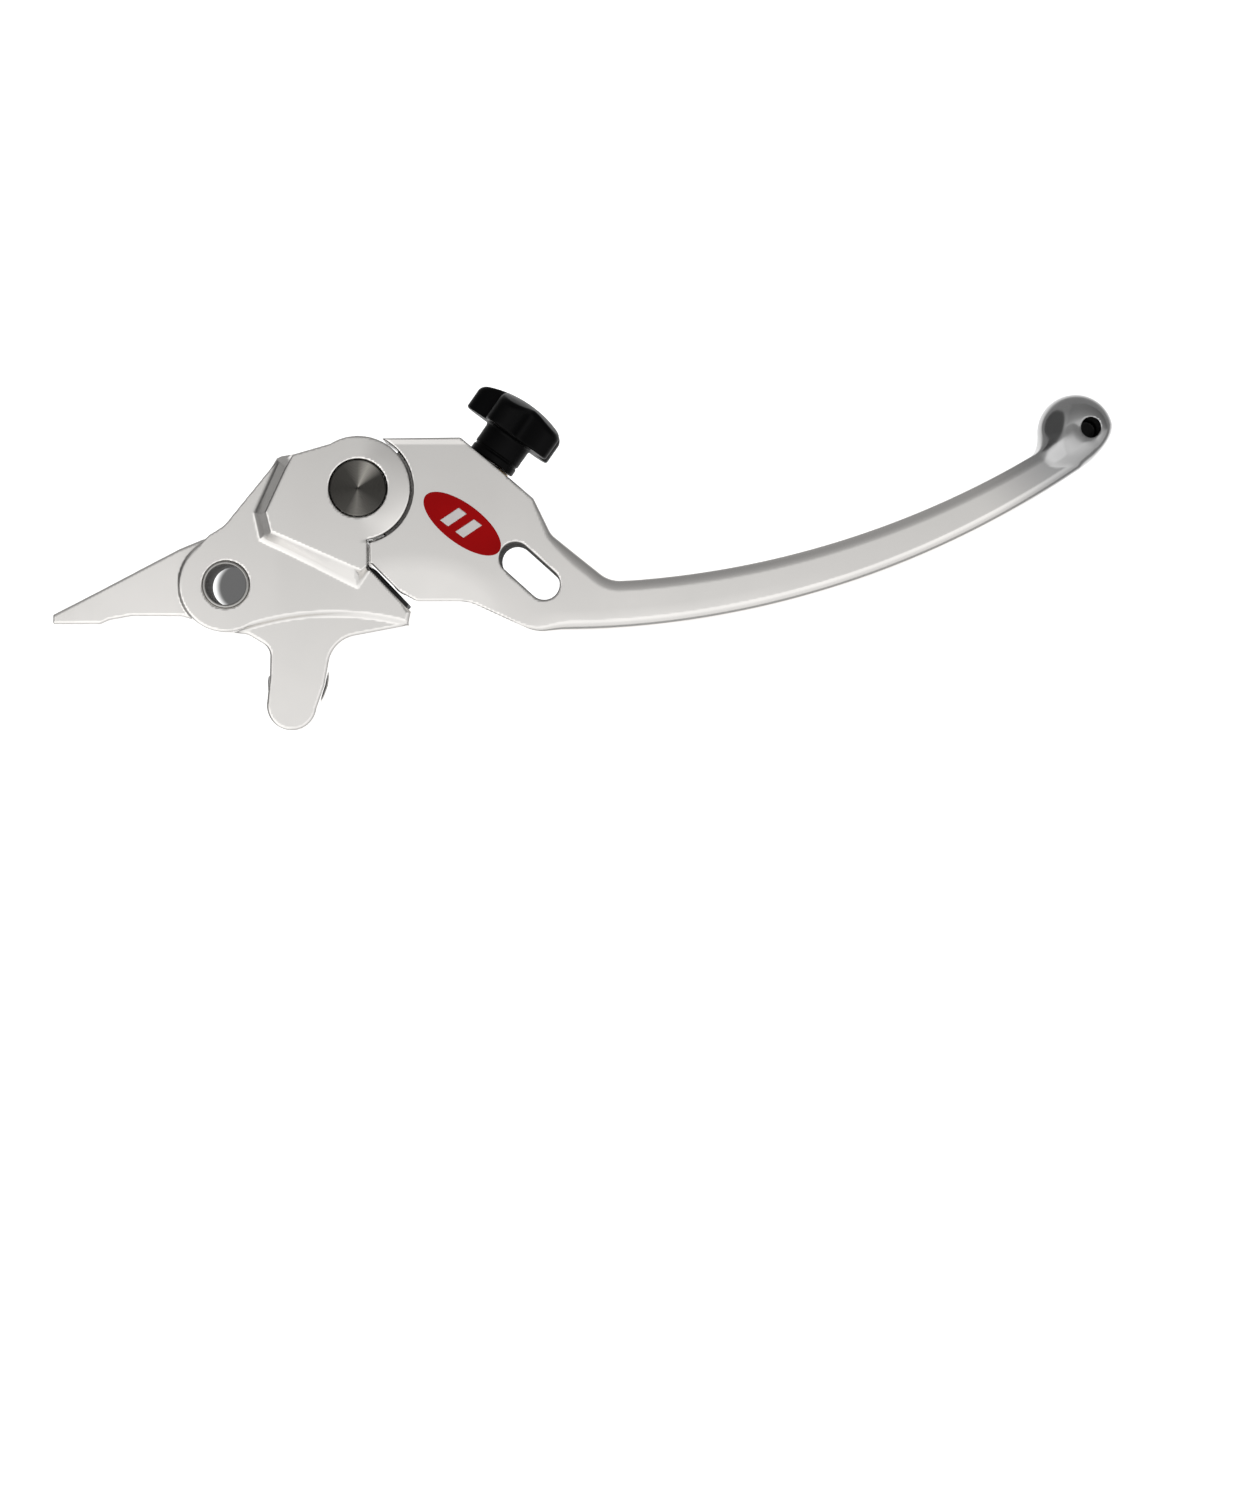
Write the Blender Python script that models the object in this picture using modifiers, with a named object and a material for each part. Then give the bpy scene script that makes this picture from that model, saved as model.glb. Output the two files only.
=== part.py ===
"""Folding, span-adjustable brake lever for a motorcycle's right-hand master cylinder.

Units are metres, +Z up. The origin is the centre of the perch pivot bore, +X runs towards the ball
end, +Y is forward, away from the handlebar, and +Z is the axis of both pivots. The base turns on the
perch. The blade turns on the fold pin inside the base's fork. A knob on the blade turns a screwed
spindle, which drives a plunger against a pad on the base and so sets the reach.
"""

import math

import bmesh
import bpy
from mathutils import Matrix, Vector

MM = 0.001
GAP = 0.3 * MM  # running gap between neighbouring pieces

# Half-thicknesses of the base, along Z
TAIL_HALF = 3.3 * MM
FINGER_HALF = 4.8 * MM
ARM_HALF = 5.5 * MM
BOSS_HALF = 6.0 * MM
CHEEK_HALF = 8.5 * MM
SLOT_HALF = 3.6 * MM

# Perch pivot
BOSS_RADIUS = 9.5 * MM
PERCH_BORE = 4.05 * MM  # radius of the running bore, for an 8 mm pivot bolt
PERCH_BUSH_OUTER = 4.65 * MM
PERCH_BUSH_HALF = 6.3 * MM

# Fold pivot
PIN_X = 26.56 * MM
PIN_Y = 19.08 * MM
PIN_SHANK = 3.0 * MM
PIN_HEAD = 5.7 * MM
PIN_HEAD_TOP = 8.9 * MM
PIN_SCREW = 1.5 * MM
PIN_SCREW_HEAD = 3.2 * MM
CHEEK_RADIUS = 10.4 * MM
COUNTERBORE_FLOOR = 6.4 * MM
BUSH_WALL = 1.2 * MM
FORK_SLOT_RADIUS = 10.5 * MM
TONGUE_HALF = 3.3 * MM
TONGUE_RADIUS = 10.0 * MM
SHOULDER_RADIUS = 11.2 * MM
SHOULDER_TOP_ANGLE = 65.2
SHOULDER_LOW_ANGLE = -71

# Return spring, around the tongue's bush
SPRING_RADIUS = 5.6 * MM
SPRING_WIRE = 0.45 * MM
SPRING_TURNS = 1.7
SPRING_PITCH = 1.08 * MM
SPRING_POCKET = 6.6 * MM
SPRING_POCKET_FLOOR = 0.2 * MM

# Blade
HEAD_HALF = 8.0 * MM
GRIP_ROOT_HALF = 5.6 * MM
GRIP_END_HALF = 4.9 * MM
BALL_X = 169.7 * MM
BALL_Y = 30.5 * MM
BALL_RADIUS = 7.4 * MM
BALL_HALF = 7.0 * MM
TIP_HOLE_X = 172.7 * MM
TIP_HOLE_Y = 31.4 * MM
TIP_HOLE = 2.0 * MM
TIP_HOLE_DEPTH = 6.0 * MM
WINDOW_X = 60.7 * MM
WINDOW_Y = 2.6 * MM
WINDOW_RADIUS = 3.1 * MM
WINDOW_LENGTH = 13.9 * MM
WINDOW_TILT = -42

# Piston set screw, along X through the finger
SET_SCREW_Y = -20.2 * MM
SET_SCREW_RADIUS = 2.7 * MM
SET_SCREW_TIP_X = 8.0 * MM
SET_SCREW_END_X = 17.3 * MM

# Stop face of the base and the wear pad let into it
LUG_INNER = (28.1 * MM, 3.8 * MM)
LUG_OUTER = (36.8 * MM, -5.3 * MM)
PAD_HALF = 4.6 * MM
PAD_PROUD = 0.6 * MM
PAD_SUNK = 0.7 * MM
PAD_START = 1.0 * MM
PAD_LENGTH = 10.4 * MM
PAD_PEG = 1.2 * MM
PAD_PEG_DEPTH = 4.0 * MM

# Adjuster. Its own Z runs outwards along the spindle from the blade's sloped face.
ADJUSTER_X = 52.6 * MM
ADJUSTER_Y = 24.8 * MM
ADJUSTER_ANGLE = 55
SPINDLE_RADIUS = 2.0 * MM
THREAD_RADIUS = 1.5 * MM
SPINDLE_TOP = 8.6 * MM
SPINDLE_END = -26.5 * MM
COLLAR_RADIUS = 3.9 * MM
COLLAR_TOP = -8.3 * MM
COLLAR_BOTTOM = -9.7 * MM
BUSH_BORE = 4.5 * MM
BUSH_BORE_FLOOR = -10.0 * MM
SPINDLE_BUSH_TOP = -0.1 * MM
SPINDLE_BUSH_BOTTOM = -8.0 * MM
PLUNGER_BORE = 3.2 * MM
PLUNGER_RADIUS = 2.85 * MM
PLUNGER_TOP = -16.0 * MM
PLUNGER_DOME = 4.5 * MM
PLUNGER_DOME_CENTRE = -27.34 * MM
PLUNGER_DRILLING_END = -28.0 * MM
GUIDE_Z = -22.0 * MM
GUIDE_POINT = 0.6 * MM
GUIDE_SCREW = 1.5 * MM
KEYWAY_FLOOR = 2.3 * MM
KEYWAY_TOP = -17.9 * MM
KEYWAY_BOTTOM = -23.9 * MM
O_RING_Z = -3.7 * MM
O_RING_MAJOR = 2.7 * MM
O_RING_MINOR = 0.4 * MM

# Knob
KNOB_SHANK = 5.05 * MM
KNOB_FOOT = 0.4 * MM
KNOB_CAP_BOTTOM = 6.5 * MM
KNOB_CAP_SHOULDER = 11.6 * MM
KNOB_TOP = 14.1 * MM
KNOB_LOBES = 5
KNOB_LOBE_OUTER = 10.4 * MM
KNOB_LOBE_INNER = 7.7 * MM
ROLL_PIN_Z = 3.6 * MM
ROLL_PIN = 0.75 * MM
ROLL_PIN_HALF = 4.6 * MM
DETENT_OFFSET = 3.5 * MM
DETENT_BALL = 0.75 * MM
DETENT_BALL_Z = 1.0 * MM
DETENT_HOLE = 1.05 * MM
DETENT_HOLE_TOP = 5.4 * MM
DETENT_WIRE = 0.13 * MM
DETENT_SPRING_RADIUS = 0.58 * MM
DETENT_SPRING_TURNS = 3
DETENT_SPRING_BOTTOM = 2.2 * MM
DETENT_SPRING_HEIGHT = 2.6 * MM

SMOOTH_ANGLE = math.radians(35)
MERGE = 0.00001
ROUND = 28  # sides of the larger round pieces
FINE = 18  # sides of the smaller ones


def clear_scene():
    for thing in list(bpy.data.objects):
        bpy.data.objects.remove(thing, do_unlink=True)


def new_collection(name):
    collection = bpy.data.collections.new(name)
    bpy.context.scene.collection.children.link(collection)
    return collection


clear_scene()
LEVER = new_collection("brake_lever")
CUTTERS = new_collection("cutters")


def make_material(name, colour, roughness, metallic):
    material = bpy.data.materials.new(name)
    material.use_nodes = True
    shader = material.node_tree.nodes["Principled BSDF"]
    shader.inputs["Base Color"].default_value = (*colour, 1)
    shader.inputs["Roughness"].default_value = roughness
    shader.inputs["Metallic"].default_value = metallic
    return material


SILVER = (0.77, 0.76, 0.74)
STEEL = (0.56, 0.55, 0.53)
BRONZE = (0.60, 0.42, 0.20)
BLACK = (0.012, 0.012, 0.013)


# ---- outlines -------------------------------------------------------------------------------------


def arc(centre, radius, start, end, steps):
    """Points on a circle from one angle to another, in degrees."""
    points = []
    for i in range(steps + 1):
        angle = math.radians(start + (end - start) * i / steps)
        points.append((centre[0] + radius * math.cos(angle), centre[1] + radius * math.sin(angle)))
    return points


def circle(centre, radius, sides):
    return arc(centre, radius, 0, 360 * (sides - 1) / sides, sides - 1)


def arc_through(first, middle, last, steps):
    """The arc that passes through three points."""
    (ax, ay), (bx, by), (cx, cy) = first, middle, last
    a2, b2, c2 = ax * ax + ay * ay, bx * bx + by * by, cx * cx + cy * cy
    twice = 2 * (ax * (by - cy) + bx * (cy - ay) + cx * (ay - by))
    x = (a2 * (by - cy) + b2 * (cy - ay) + c2 * (ay - by)) / twice
    y = (a2 * (cx - bx) + b2 * (ax - cx) + c2 * (bx - ax)) / twice
    start = math.degrees(math.atan2(ay - y, ax - x))
    turn = (math.degrees(math.atan2(cy - y, cx - x)) - start + 180) % 360 - 180
    return arc((x, y), math.hypot(ax - x, ay - y), start, start + turn, steps)


def corner(before, point, after, radius, steps=5):
    """A corner rounded to a radius, between two straight sides."""
    here = Vector(point)
    back = (Vector(before) - here).normalized()
    ahead = (Vector(after) - here).normalized()
    half = back.angle(ahead) / 2
    centre = here + (back + ahead).normalized() * (radius / math.sin(half))
    first = here + back * (radius / math.tan(half))
    last = here + ahead * (radius / math.tan(half))
    start = math.degrees(math.atan2(first.y - centre.y, first.x - centre.x))
    turn = math.degrees(math.atan2(last.y - centre.y, last.x - centre.x)) - start
    turn = (turn + 180) % 360 - 180
    return arc((centre.x, centre.y), radius, start, start + turn, steps)


def outline(*steps):
    """An outline in millimetres from (x, y), (x, y, corner radius) and lists of points."""
    flat = []
    for step in steps:
        flat.extend(step if isinstance(step, list) else [step])
    points = []
    for i, item in enumerate(flat):
        if len(item) == 2:
            points.append(item)
        else:
            before, after = flat[i - 1][:2], flat[(i + 1) % len(flat)][:2]
            points.extend(corner(before, item[:2], after, item[2]))
    return [(x * MM, y * MM) for x, y in points]


# ---- solids ---------------------------------------------------------------------------------------


def link(name, data):
    """An object for a mesh or a curve, kept with the cutters until it is finished."""
    if isinstance(data, bpy.types.Mesh):
        data.shade_smooth()
        data.set_sharp_from_angle(angle=SMOOTH_ANGLE)
    thing = bpy.data.objects.new(name, data)
    CUTTERS.objects.link(thing)
    return thing


def plate(name, points, low, high):
    """A flat outline as a solid from one height to another."""
    curve = bpy.data.curves.new(name, "CURVE")
    curve.dimensions = "2D"
    curve.fill_mode = "BOTH"
    curve.extrude = (high - low) / 2
    spline = curve.splines.new("POLY")
    spline.points.add(len(points) - 1)
    for point, (x, y) in zip(spline.points, points):
        point.co = (x, y, 0, 1)
    spline.use_cyclic_u = True
    source = link(name + "_curve", curve)
    bpy.context.view_layer.update()
    ready = source.evaluated_get(bpy.context.evaluated_depsgraph_get())
    mesh = bpy.data.meshes.new_from_object(ready)
    bpy.data.objects.remove(source, do_unlink=True)
    work = bmesh.new()
    work.from_mesh(mesh)
    bmesh.ops.remove_doubles(work, verts=work.verts, dist=MERGE)
    bmesh.ops.translate(work, verts=work.verts, vec=(0, 0, (high + low) / 2))
    bmesh.ops.recalc_face_normals(work, faces=work.faces)
    work.to_mesh(mesh)
    work.free()
    return link(name, mesh)


def rod(name, radius, start, end, sides=FINE):
    """A cylinder between two points."""
    start, end = Vector(start), Vector(end)
    along = end - start
    place = Matrix.Translation((start + end) / 2) @ along.to_track_quat("Z", "Y").to_matrix().to_4x4()
    mesh = bpy.data.meshes.new(name)
    work = bmesh.new()
    bmesh.ops.create_cone(
        work,
        cap_ends=True,
        segments=sides,
        radius1=radius,
        radius2=radius,
        depth=along.length,
        matrix=place,
    )
    work.to_mesh(mesh)
    work.free()
    return link(name, mesh)


def block(name, low, high):
    """A box between two corners."""
    size = [b - a for a, b in zip(low, high)]
    middle = [(a + b) / 2 for a, b in zip(low, high)]
    mesh = bpy.data.meshes.new(name)
    work = bmesh.new()
    bmesh.ops.create_cube(work, size=1, matrix=Matrix.Translation(middle) @ Matrix.Diagonal((*size, 1)))
    work.to_mesh(mesh)
    work.free()
    return link(name, mesh)


def ball(name, centre, radius, half_height, sides=24, rings=14):
    mesh = bpy.data.meshes.new(name)
    work = bmesh.new()
    size = Matrix.Diagonal((radius, radius, half_height, 1))
    place = Matrix.Translation(centre) @ size
    bmesh.ops.create_uvsphere(work, u_segments=sides, v_segments=rings, radius=1, matrix=place)
    work.to_mesh(mesh)
    work.free()
    return link(name, mesh)


def turned(name, profile, sides=ROUND, ring=False):
    """A turned piece about Z. The profile is (radius, height), down the outer side from the top."""
    mesh = bpy.data.meshes.new(name)
    edges = [(i, i + 1) for i in range(len(profile) - 1)]
    if ring:
        edges.append((len(profile) - 1, 0))
    mesh.from_pydata([(radius, 0, height) for radius, height in profile], edges, [])
    piece = link(name, mesh)
    screw = piece.modifiers.new("turn", "SCREW")
    screw.axis = "Z"
    screw.steps = sides
    screw.render_steps = sides
    screw.use_merge_vertices = True
    screw.merge_threshold = MERGE
    screw.use_smooth_shade = True
    return piece


def ring(name, inner, outer, low, high, chamfer=0.2 * MM, sides=ROUND):
    """A bush or washer with both ends of its outer side chamfered."""
    profile = [
        (outer - chamfer, high),
        (outer, high - chamfer),
        (outer, low + chamfer),
        (outer - chamfer, low),
        (inner, low),
        (inner, high),
    ]
    return turned(name, profile, sides, ring=True)


def coil(name, radius, wire, turns, pitch, bottom, steps=18):
    """A round wire wound about Z."""
    curve = bpy.data.curves.new(name, "CURVE")
    curve.dimensions = "3D"
    curve.bevel_depth = wire
    curve.bevel_resolution = 2
    curve.use_fill_caps = True
    spline = curve.splines.new("POLY")
    count = round(turns * steps) + 1
    spline.points.add(count - 1)
    for i, point in enumerate(spline.points):
        angle = 2 * math.pi * i / steps
        height = bottom + pitch * i / steps
        point.co = (radius * math.cos(angle), radius * math.sin(angle), height, 1)
    return link(name, curve)


def loft(name, loops):
    """A solid skinned over loops with the same number of points, closed by a cap at each end."""
    mesh = bpy.data.meshes.new(name)
    work = bmesh.new()
    rows = [[work.verts.new(point) for point in loop] for loop in loops]
    count = len(rows[0])
    for lower, upper in zip(rows, rows[1:]):
        for i in range(count):
            j = (i + 1) % count
            work.faces.new((lower[i], lower[j], upper[j], upper[i]))
    work.faces.new(rows[0])
    work.faces.new(rows[-1])
    bmesh.ops.recalc_face_normals(work, faces=work.faces)
    work.to_mesh(mesh)
    work.free()
    return link(name, mesh)


def combine(target, tool, operation):
    """Adds a Boolean modifier and puts its tool out of sight."""
    modifier = target.modifiers.new(tool.name, "BOOLEAN")
    modifier.operation = operation
    modifier.solver = "EXACT"
    modifier.object = tool
    tool.hide_render = True
    tool.display_type = "WIRE"
    return target


def join(target, *tools):
    for tool in tools:
        combine(target, tool, "UNION")
    return target


def cut(target, *tools):
    for tool in tools:
        combine(target, tool, "DIFFERENCE")
    return target


def keep_common(target, tool):
    return combine(target, tool, "INTERSECT")


def round_edges(piece, width, segments=1, angle=40):
    bevel = piece.modifiers.new("edges", "BEVEL")
    bevel.width = width
    bevel.segments = segments
    bevel.limit_method = "ANGLE"
    bevel.angle_limit = math.radians(angle)
    return piece


def finish(piece, name, material, parent=None):
    """Names a piece, gives it a material, shades it and puts it in the lever's collection."""
    piece.name = name
    piece.data.name = name
    piece.data.materials.clear()
    piece.data.materials.append(material)
    CUTTERS.objects.unlink(piece)
    LEVER.objects.link(piece)
    if parent:
        piece.parent = parent
        piece.matrix_parent_inverse = parent.matrix_world.inverted()
    return piece


def axis_empty(name, frame):
    """An empty whose Z axis is a joint's axis."""
    empty = bpy.data.objects.new(name, None)
    empty.matrix_world = frame
    LEVER.objects.link(empty)
    return empty


def place(piece, frame):
    piece.matrix_world = frame
    return piece


# ---- joint axes -----------------------------------------------------------------------------------

OUTWARDS = math.radians(ADJUSTER_ANGLE)
FOLD_FRAME = Matrix.Translation((PIN_X, PIN_Y, 0))
ADJUSTER_FRAME = Matrix(
    (
        (math.sin(OUTWARDS), 0, math.cos(OUTWARDS), ADJUSTER_X),
        (-math.cos(OUTWARDS), 0, math.sin(OUTWARDS), ADJUSTER_Y),
        (0, -1, 0, 0),
        (0, 0, 0, 1),
    )
)
PERCH_AXIS = axis_empty("perch_axis", Matrix.Identity(4))
FOLD_AXIS = axis_empty("fold_axis", FOLD_FRAME)
ADJUSTER_AXIS = axis_empty("adjuster_axis", ADJUSTER_FRAME)


# ---- base -----------------------------------------------------------------------------------------


def tail_outline():
    """The arm that works the brake light switch."""
    return outline(
        (-35.0, -5.9),
        (-35.0, -7.8),
        (-25.4, -7.8),
        (-23.6, -7.0),
        (-19.0, -6.2),
        (-9.0, -6.3),
        (-3.0, -8.0),
        (0.0, 0.0),
        (-2.0, 10.2),
        (-9.3, 7.2),
    )


def arm_outline():
    """The base's middle level, from the boss to the cheeks and the stop face."""
    underside = arc_through((36.4, -8.0), (19.0, -6.0), (4.0, -8.7), 10)
    return outline(
        (-8.0, 5.0),
        (-3.3, 9.9),
        (-0.3, 11.8, 6.0),
        (10.9, 25.6, 0.8),
        (15.0, 26.0),
        (20.0, 20.0),
        (28.2, 8.4),
        (28.2, 3.7),
        (36.9, -5.4),
        underside,
        (0.0, -9.0),
    )


def finger_outline():
    """The finger that pushes the piston, with the web that carries it."""
    return outline(
        (0.0, 0.0),
        (0.0, -9.5),
        (4.2, -9.9, 3.0),
        (8.7, -12.6, 3.0),
        (8.6, -18.0),
        arc((13.0, -24.1), 5.0, 172, 352, 14),
        (19.6, -20.0),
        (21.2, -11.0, 6.4),
        (36.4, -8.1),
        (36.0, -7.0),
        (20.0, 0.0),
    )


def cheek_loop(spread, height):
    """The cheeks' outline at one height. The left and lower sides lean out by the spread."""
    pin = (PIN_X / MM, PIN_Y / MM)
    points = outline(
        arc(pin, CHEEK_RADIUS / MM, -80, 122, 18),
        (13.6 - 3.1 * spread, 25.7 - 0.4 * spread),
        (8.3 - 2.2 * spread, 14.3),
        (9.3 - 2.2 * spread, 10.4 - 1.6 * spread),
        (27.2 - 0.9 * spread, 2.6 - 2.9 * spread),
        (28.4, 3.6 - 0.6 * spread),
    )
    return [(x, y, height) for x, y in points]


def slot_cutter():
    """The fork's slot. Its far end opens squarely through the front of the base."""
    round_back = plate("slot", circle((PIN_X, PIN_Y), FORK_SLOT_RADIUS, 48), -SLOT_HALF, SLOT_HALF)
    opening = outline((20.0, 20.0), (17.0, 24.9), (14.8, 30.0), (30.0, 34.0))
    return join(round_back, plate("slot_opening", opening, -SLOT_HALF, SLOT_HALF))


def lug_frame():
    """X along the stop face towards the lever's tip side, Z out of it."""
    inner, outer = Vector((*LUG_INNER, 0)), Vector((*LUG_OUTER, 0))
    along = (outer - inner).normalized()
    out = Vector((-along.y, along.x, 0))
    across = out.cross(along)
    frame = Matrix((along, across, out)).transposed().to_4x4()
    frame.translation = inner
    return frame


def make_base(material):
    base = plate("base", arm_outline(), -ARM_HALF, ARM_HALF)
    low = cheek_loop(1.0, -ARM_HALF)
    high = cheek_loop(0.0, -CHEEK_HALF)
    cheeks = loft("cheeks", [high, low, cheek_loop(1.0, ARM_HALF), cheek_loop(0.0, CHEEK_HALF)])
    join(
        base,
        plate("tail", tail_outline(), -TAIL_HALF, TAIL_HALF),
        rod("boss", BOSS_RADIUS, (0, 0, -BOSS_HALF), (0, 0, BOSS_HALF), 48),
        plate("finger", finger_outline(), -FINGER_HALF, FINGER_HALF),
        cheeks,
    )
    pin = (PIN_X, PIN_Y)
    through = 2 * CHEEK_HALF
    bush_hole = PIN_SHANK + GAP + BUSH_WALL + GAP
    recess = PAD_LENGTH + 2 * GAP
    pad_recess = block(
        "pad_recess",
        (PAD_START - GAP, -PAD_HALF - GAP, -PAD_SUNK - GAP),
        (PAD_START - GAP + recess, PAD_HALF + GAP, 5 * MM),
    )
    peg_x = PAD_START + PAD_LENGTH / 2
    peg_hole = rod("peg_hole", PAD_PEG + GAP, (peg_x, 0, 0), (peg_x, 0, -PAD_PEG_DEPTH - GAP))
    cut(
        base,
        slot_cutter(),
        rod("perch_hole", PERCH_BUSH_OUTER + GAP, (0, 0, -through), (0, 0, through), ROUND),
        rod("pin_hole", bush_hole, (*pin, -through), (*pin, through), ROUND),
        rod("head_recess", PIN_HEAD + 0.4 * MM, (*pin, COUNTERBORE_FLOOR), (*pin, through), ROUND),
        rod("screw_recess", PIN_HEAD + 0.4 * MM, (*pin, -through), (*pin, -COUNTERBORE_FLOOR), ROUND),
        rod("set_screw_hole", SET_SCREW_RADIUS + GAP, (0, SET_SCREW_Y, 0), (30 * MM, SET_SCREW_Y, 0)),
        place(pad_recess, lug_frame()),
        place(peg_hole, lug_frame()),
    )
    finish(base, "lever_base", material, PERCH_AXIS)


def make_perch_bush(material):
    bush = ring("bush", PERCH_BORE, PERCH_BUSH_OUTER, -PERCH_BUSH_HALF, PERCH_BUSH_HALF, 0.3 * MM)
    finish(bush, "perch_bush", material, PERCH_AXIS)


def hex_socket(across_flats, low, high):
    """A six-sided cutter along Z."""
    return rod("hex_socket", across_flats / math.sqrt(3), (0, 0, low), (0, 0, high), 6)


def make_set_screw(material):
    """Along its own Z from the tip that meets the piston to the socket."""
    length = SET_SCREW_END_X - SET_SCREW_TIP_X
    screw = turned(
        "screw",
        [
            (0, length),
            (SET_SCREW_RADIUS - 0.4 * MM, length),
            (SET_SCREW_RADIUS, length - 0.4 * MM),
            (SET_SCREW_RADIUS, 1.5 * MM),
            (2.1 * MM, 0.9 * MM),
            (2.1 * MM, 0),
            (0, 0),
        ],
        FINE,
    )
    socket = hex_socket(3.0 * MM, length - 2.5 * MM, length + MM)
    turn = Matrix.Rotation(math.radians(90), 4, "Y")
    along_x = Matrix.Translation((SET_SCREW_TIP_X, SET_SCREW_Y, 0)) @ turn
    cut(place(screw, along_x), place(socket, along_x))
    finish(screw, "piston_set_screw", material)


def make_wear_pad(material):
    peg_x = PAD_START + PAD_LENGTH / 2
    strip = block("strip", (PAD_START, -PAD_HALF, -PAD_SUNK), (PAD_START + PAD_LENGTH, PAD_HALF, PAD_PROUD))
    peg = rod("peg", PAD_PEG, (peg_x, 0, 0), (peg_x, 0, -PAD_PEG_DEPTH))
    place(strip, lug_frame())
    join(strip, place(peg, lug_frame()))
    finish(strip, "wear_pad", material)


# ---- fold pivot -----------------------------------------------------------------------------------


def make_fork_bushes(material):
    inner = PIN_SHANK + GAP
    low, high = SLOT_HALF + 0.2 * MM, COUNTERBORE_FLOOR - 0.1 * MM
    for name, bottom, top in (("fork_bush_upper", low, high), ("fork_bush_lower", -high, -low)):
        bush = ring(name, inner, inner + BUSH_WALL, bottom, top)
        finish(place(bush, FOLD_FRAME), name, material)


def make_fold_pin(material):
    """A barrel with its head on top and a thread for the screw in its lower end."""
    end = -COUNTERBORE_FLOOR
    head_under = COUNTERBORE_FLOOR + GAP
    pin = turned(
        "pin",
        [
            (0, PIN_HEAD_TOP - 0.3 * MM),
            (0.5 * MM, PIN_HEAD_TOP),
            (PIN_HEAD - 0.5 * MM, PIN_HEAD_TOP),
            (PIN_HEAD, PIN_HEAD_TOP - 0.5 * MM),
            (PIN_HEAD, head_under),
            (PIN_SHANK, head_under),
            (PIN_SHANK, end),
            (PIN_SCREW + GAP, end),
            (PIN_SCREW + GAP, -1.0 * MM),
            (0, -1.0 * MM),
        ],
    )
    finish(place(pin, FOLD_FRAME), "fold_pin", material)


def make_pin_washer(material):
    top = -COUNTERBORE_FLOOR - GAP
    washer = ring("washer", PIN_SCREW + GAP, PIN_HEAD - 0.1 * MM, top - 0.7 * MM, top, 0.15 * MM)
    finish(place(washer, FOLD_FRAME), "fold_pin_washer", material)


def make_pin_screw(material):
    under = -COUNTERBORE_FLOOR - 1.3 * MM
    crown = under - 1.5 * MM
    screw = turned(
        "screw",
        [
            (0, -1.5 * MM),
            (PIN_SCREW, -1.5 * MM),
            (PIN_SCREW, under),
            (PIN_SCREW_HEAD, under),
            (PIN_SCREW_HEAD, under - 0.6 * MM),
            (PIN_SCREW_HEAD - 0.4 * MM, crown + 0.3 * MM),
            (PIN_SCREW_HEAD - 1.2 * MM, crown),
            (0, crown),
        ],
        FINE,
    )
    socket = hex_socket(2.2 * MM, crown - MM, crown + 1.1 * MM)
    cut(screw, place(socket, FOLD_FRAME))
    finish(place(screw, FOLD_FRAME), "fold_pin_screw", material)


def make_return_spring(material):
    bottom = SPRING_POCKET_FLOOR + GAP + SPRING_WIRE
    spring = coil("spring", SPRING_RADIUS, SPRING_WIRE, SPRING_TURNS, SPRING_PITCH, bottom)
    finish(place(spring, FOLD_FRAME), "return_spring", material)


def make_tongue_bush(material):
    inner = PIN_SHANK + GAP
    bush = ring("bush", inner, inner + BUSH_WALL - GAP, -TONGUE_HALF + 0.1 * MM, TONGUE_HALF - 0.1 * MM)
    finish(place(bush, FOLD_FRAME), "tongue_bush", material)


# ---- blade ----------------------------------------------------------------------------------------


def blade_outline():
    """The blade's outline from above, without the ball."""
    pin = (PIN_X / MM, PIN_Y / MM)
    shoulder = arc(pin, SHOULDER_RADIUS / MM, SHOULDER_TOP_ANGLE, SHOULDER_LOW_ANGLE, 16)
    rear = arc_through((67.0, -9.2), (112.7, -3.2), (171.0, 23.4), 16)
    front = arc_through((163.0, 27.0), (126.7, 10.2), (81.0, 1.0), 16)
    return outline(
        shoulder,
        (30.2, 4.6),
        (34.8, -1.1),
        (38.3, -3.4),
        (48.5, -3.4, 9.0),
        (62.0, -9.6, 8.0),
        rear,
        front,
        (76.6, 0.8, 6.0),
        (65.0, 10.0, 4.0),
        (61.5, 17.1, 1.5),
        (46.9, 29.2),
    )


def side_outline():
    """The blade's thickness from the side: a deep head, easing down to a slim grip."""
    upper = [
        (20.0, HEAD_HALF / MM),
        (57.0, HEAD_HALF / MM),
        (66.0, 6.9),
        (76.0, 5.9),
        (86.0, GRIP_ROOT_HALF / MM),
        (180.0, GRIP_END_HALF / MM),
    ]
    lower = [(x, -z) for x, z in reversed(upper)]
    return outline(upper + lower)


def window_outline():
    half = (WINDOW_LENGTH - 2 * WINDOW_RADIUS) / 2
    return arc((half, 0), WINDOW_RADIUS, -90, 90, 10) + arc((-half, 0), WINDOW_RADIUS, 90, 270, 10)


def adjuster_bores():
    """Cutters for the adjuster, in the adjuster's own frame."""
    far = 40 * MM
    guide = (0, KEYWAY_FLOOR, GUIDE_Z)
    return [
        rod("bush_bore", BUSH_BORE, (0, 0, BUSH_BORE_FLOOR), (0, 0, far), ROUND),
        rod("plunger_bore", PLUNGER_BORE, (0, 0, -far), (0, 0, BUSH_BORE_FLOOR + MM), ROUND),
        rod("guide_hole", GUIDE_SCREW + GAP, guide, (0, 12 * MM, GUIDE_Z), FINE),
    ]


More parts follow.
